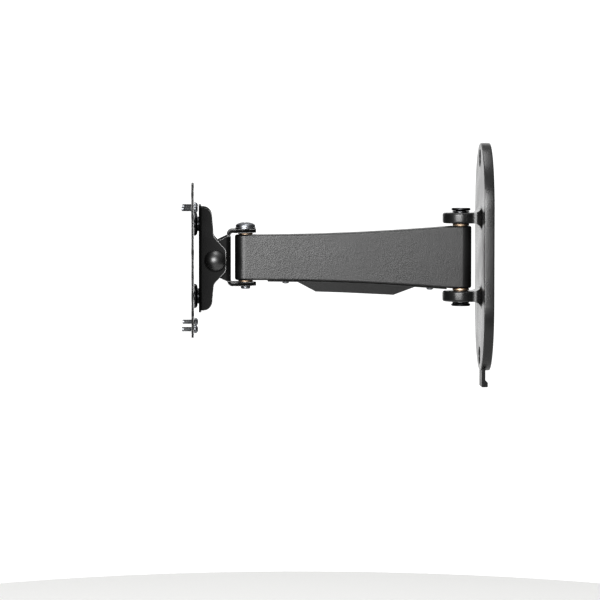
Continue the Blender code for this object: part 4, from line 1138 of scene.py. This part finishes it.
# %% Hexagon nut
def hexagon(name, corner_radius, low, high):
    """An upright hexagon with rounded-off corners at both ends."""
    bar = prism_cutter(6, corner_radius, low, high)
    bar.name = name
    flat_radius = corner_radius * math.cos(math.radians(30))
    fall = (corner_radius - flat_radius) * 0.6
    cone = lathe("cone", [
        (0, high),
        (flat_radius, high),
        (corner_radius * 1.01, high - fall),
        (corner_radius * 1.01, low + fall),
        (flat_radius, low),
        (0, low),
    ])
    carve(bar, cone, "INTERSECT")
    return bar


nut_low, nut_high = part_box("tilt_nut")
nut_height = nut_high[0] - nut_low[0]
nut_corner = max(half_size("tilt_nut"), box_size("tilt_nut").z / 2)
nut = hexagon("hexagon_nut", nut_corner, 0, nut_height)
carve(nut, prism_cutter(40, TILT_BORE, -OVERRUN / 2, nut_height + OVERRUN / 2))
seat(nut, Vector((nut_low[0], TILT_PIVOT.y, TILT_PIVOT.z)), RIGHT)
smooth_below(nut, 25)
stand_in(nut, "tilt_nut")
print("nut triangles:", triangles(nut))

# %% [markdown]
# The bolt is turned from its socket head on the far side to the threaded end under the nut. The
# spring washer is a ring with a slanting cut, and that cut is what makes it a spring.

# %% Tilt bolt and spring washer
bolt_low, bolt_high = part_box("tilt_bolt")
head_seat = -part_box("tilt_bracket")[0][0] + GAP
head_top = -bolt_low[0]
shank_end = -bolt_high[0]
shank_radius = TILT_BORE - GAP
head_radius = half_size("tilt_bolt")
THREAD_STEP = 0.001
THREAD_RIDGE = 0.0004
HEAD_CHAMFER = 0.0008
TILT_SOCKET = 0.0025
bolt_profile_points = [
    (0, head_top),
    (head_radius - HEAD_CHAMFER, head_top),
    (head_radius, head_top - HEAD_CHAMFER),
    (head_radius, head_seat),
    (shank_radius, head_seat),
    (shank_radius, shank_end + 10 * THREAD_STEP),
]
for index in range(9, 0, -1):
    ridge = shank_end + index * THREAD_STEP
    bolt_profile_points.append((shank_radius - THREAD_RIDGE, ridge + THREAD_STEP / 2))
    bolt_profile_points.append((shank_radius, ridge))
bolt_profile_points += [(shank_radius - 0.0006, shank_end), (0, shank_end)]
clamp_bolt = lathe("socket_tilt_bolt", bolt_profile_points, 40)
carve(clamp_bolt, prism_cutter(6, TILT_SOCKET, head_top - TILT_SOCKET, head_top + OVERRUN / 2))
seat(clamp_bolt, Vector((0, TILT_PIVOT.y, TILT_PIVOT.z)), LEFT)
smooth_below(clamp_bolt, 25)
stand_in(clamp_bolt, "tilt_bolt")
print("tilt bolt triangles:", triangles(clamp_bolt))

SPRING_CUT = 0.0006
spring_radius = half_size("tilt_spring_washer")
spring = turn_ring(
    "tilt_spring_washer", "split_spring_washer", "x", spring_radius, TILT_BORE, 0.0001
)
cut_place = box_middle("tilt_spring_washer") + Vector((0, 0, (spring_radius + TILT_BORE) / 2))
activate_none()
bpy.ops.mesh.primitive_cube_add(size=1, location=cut_place, rotation=(0, 0, math.radians(35)))
blade = bpy.context.active_object
blade.scale = (2 * OVERRUN, SPRING_CUT, 0.005)
carve(spring, blade)
print("spring washer triangles:", triangles(spring))
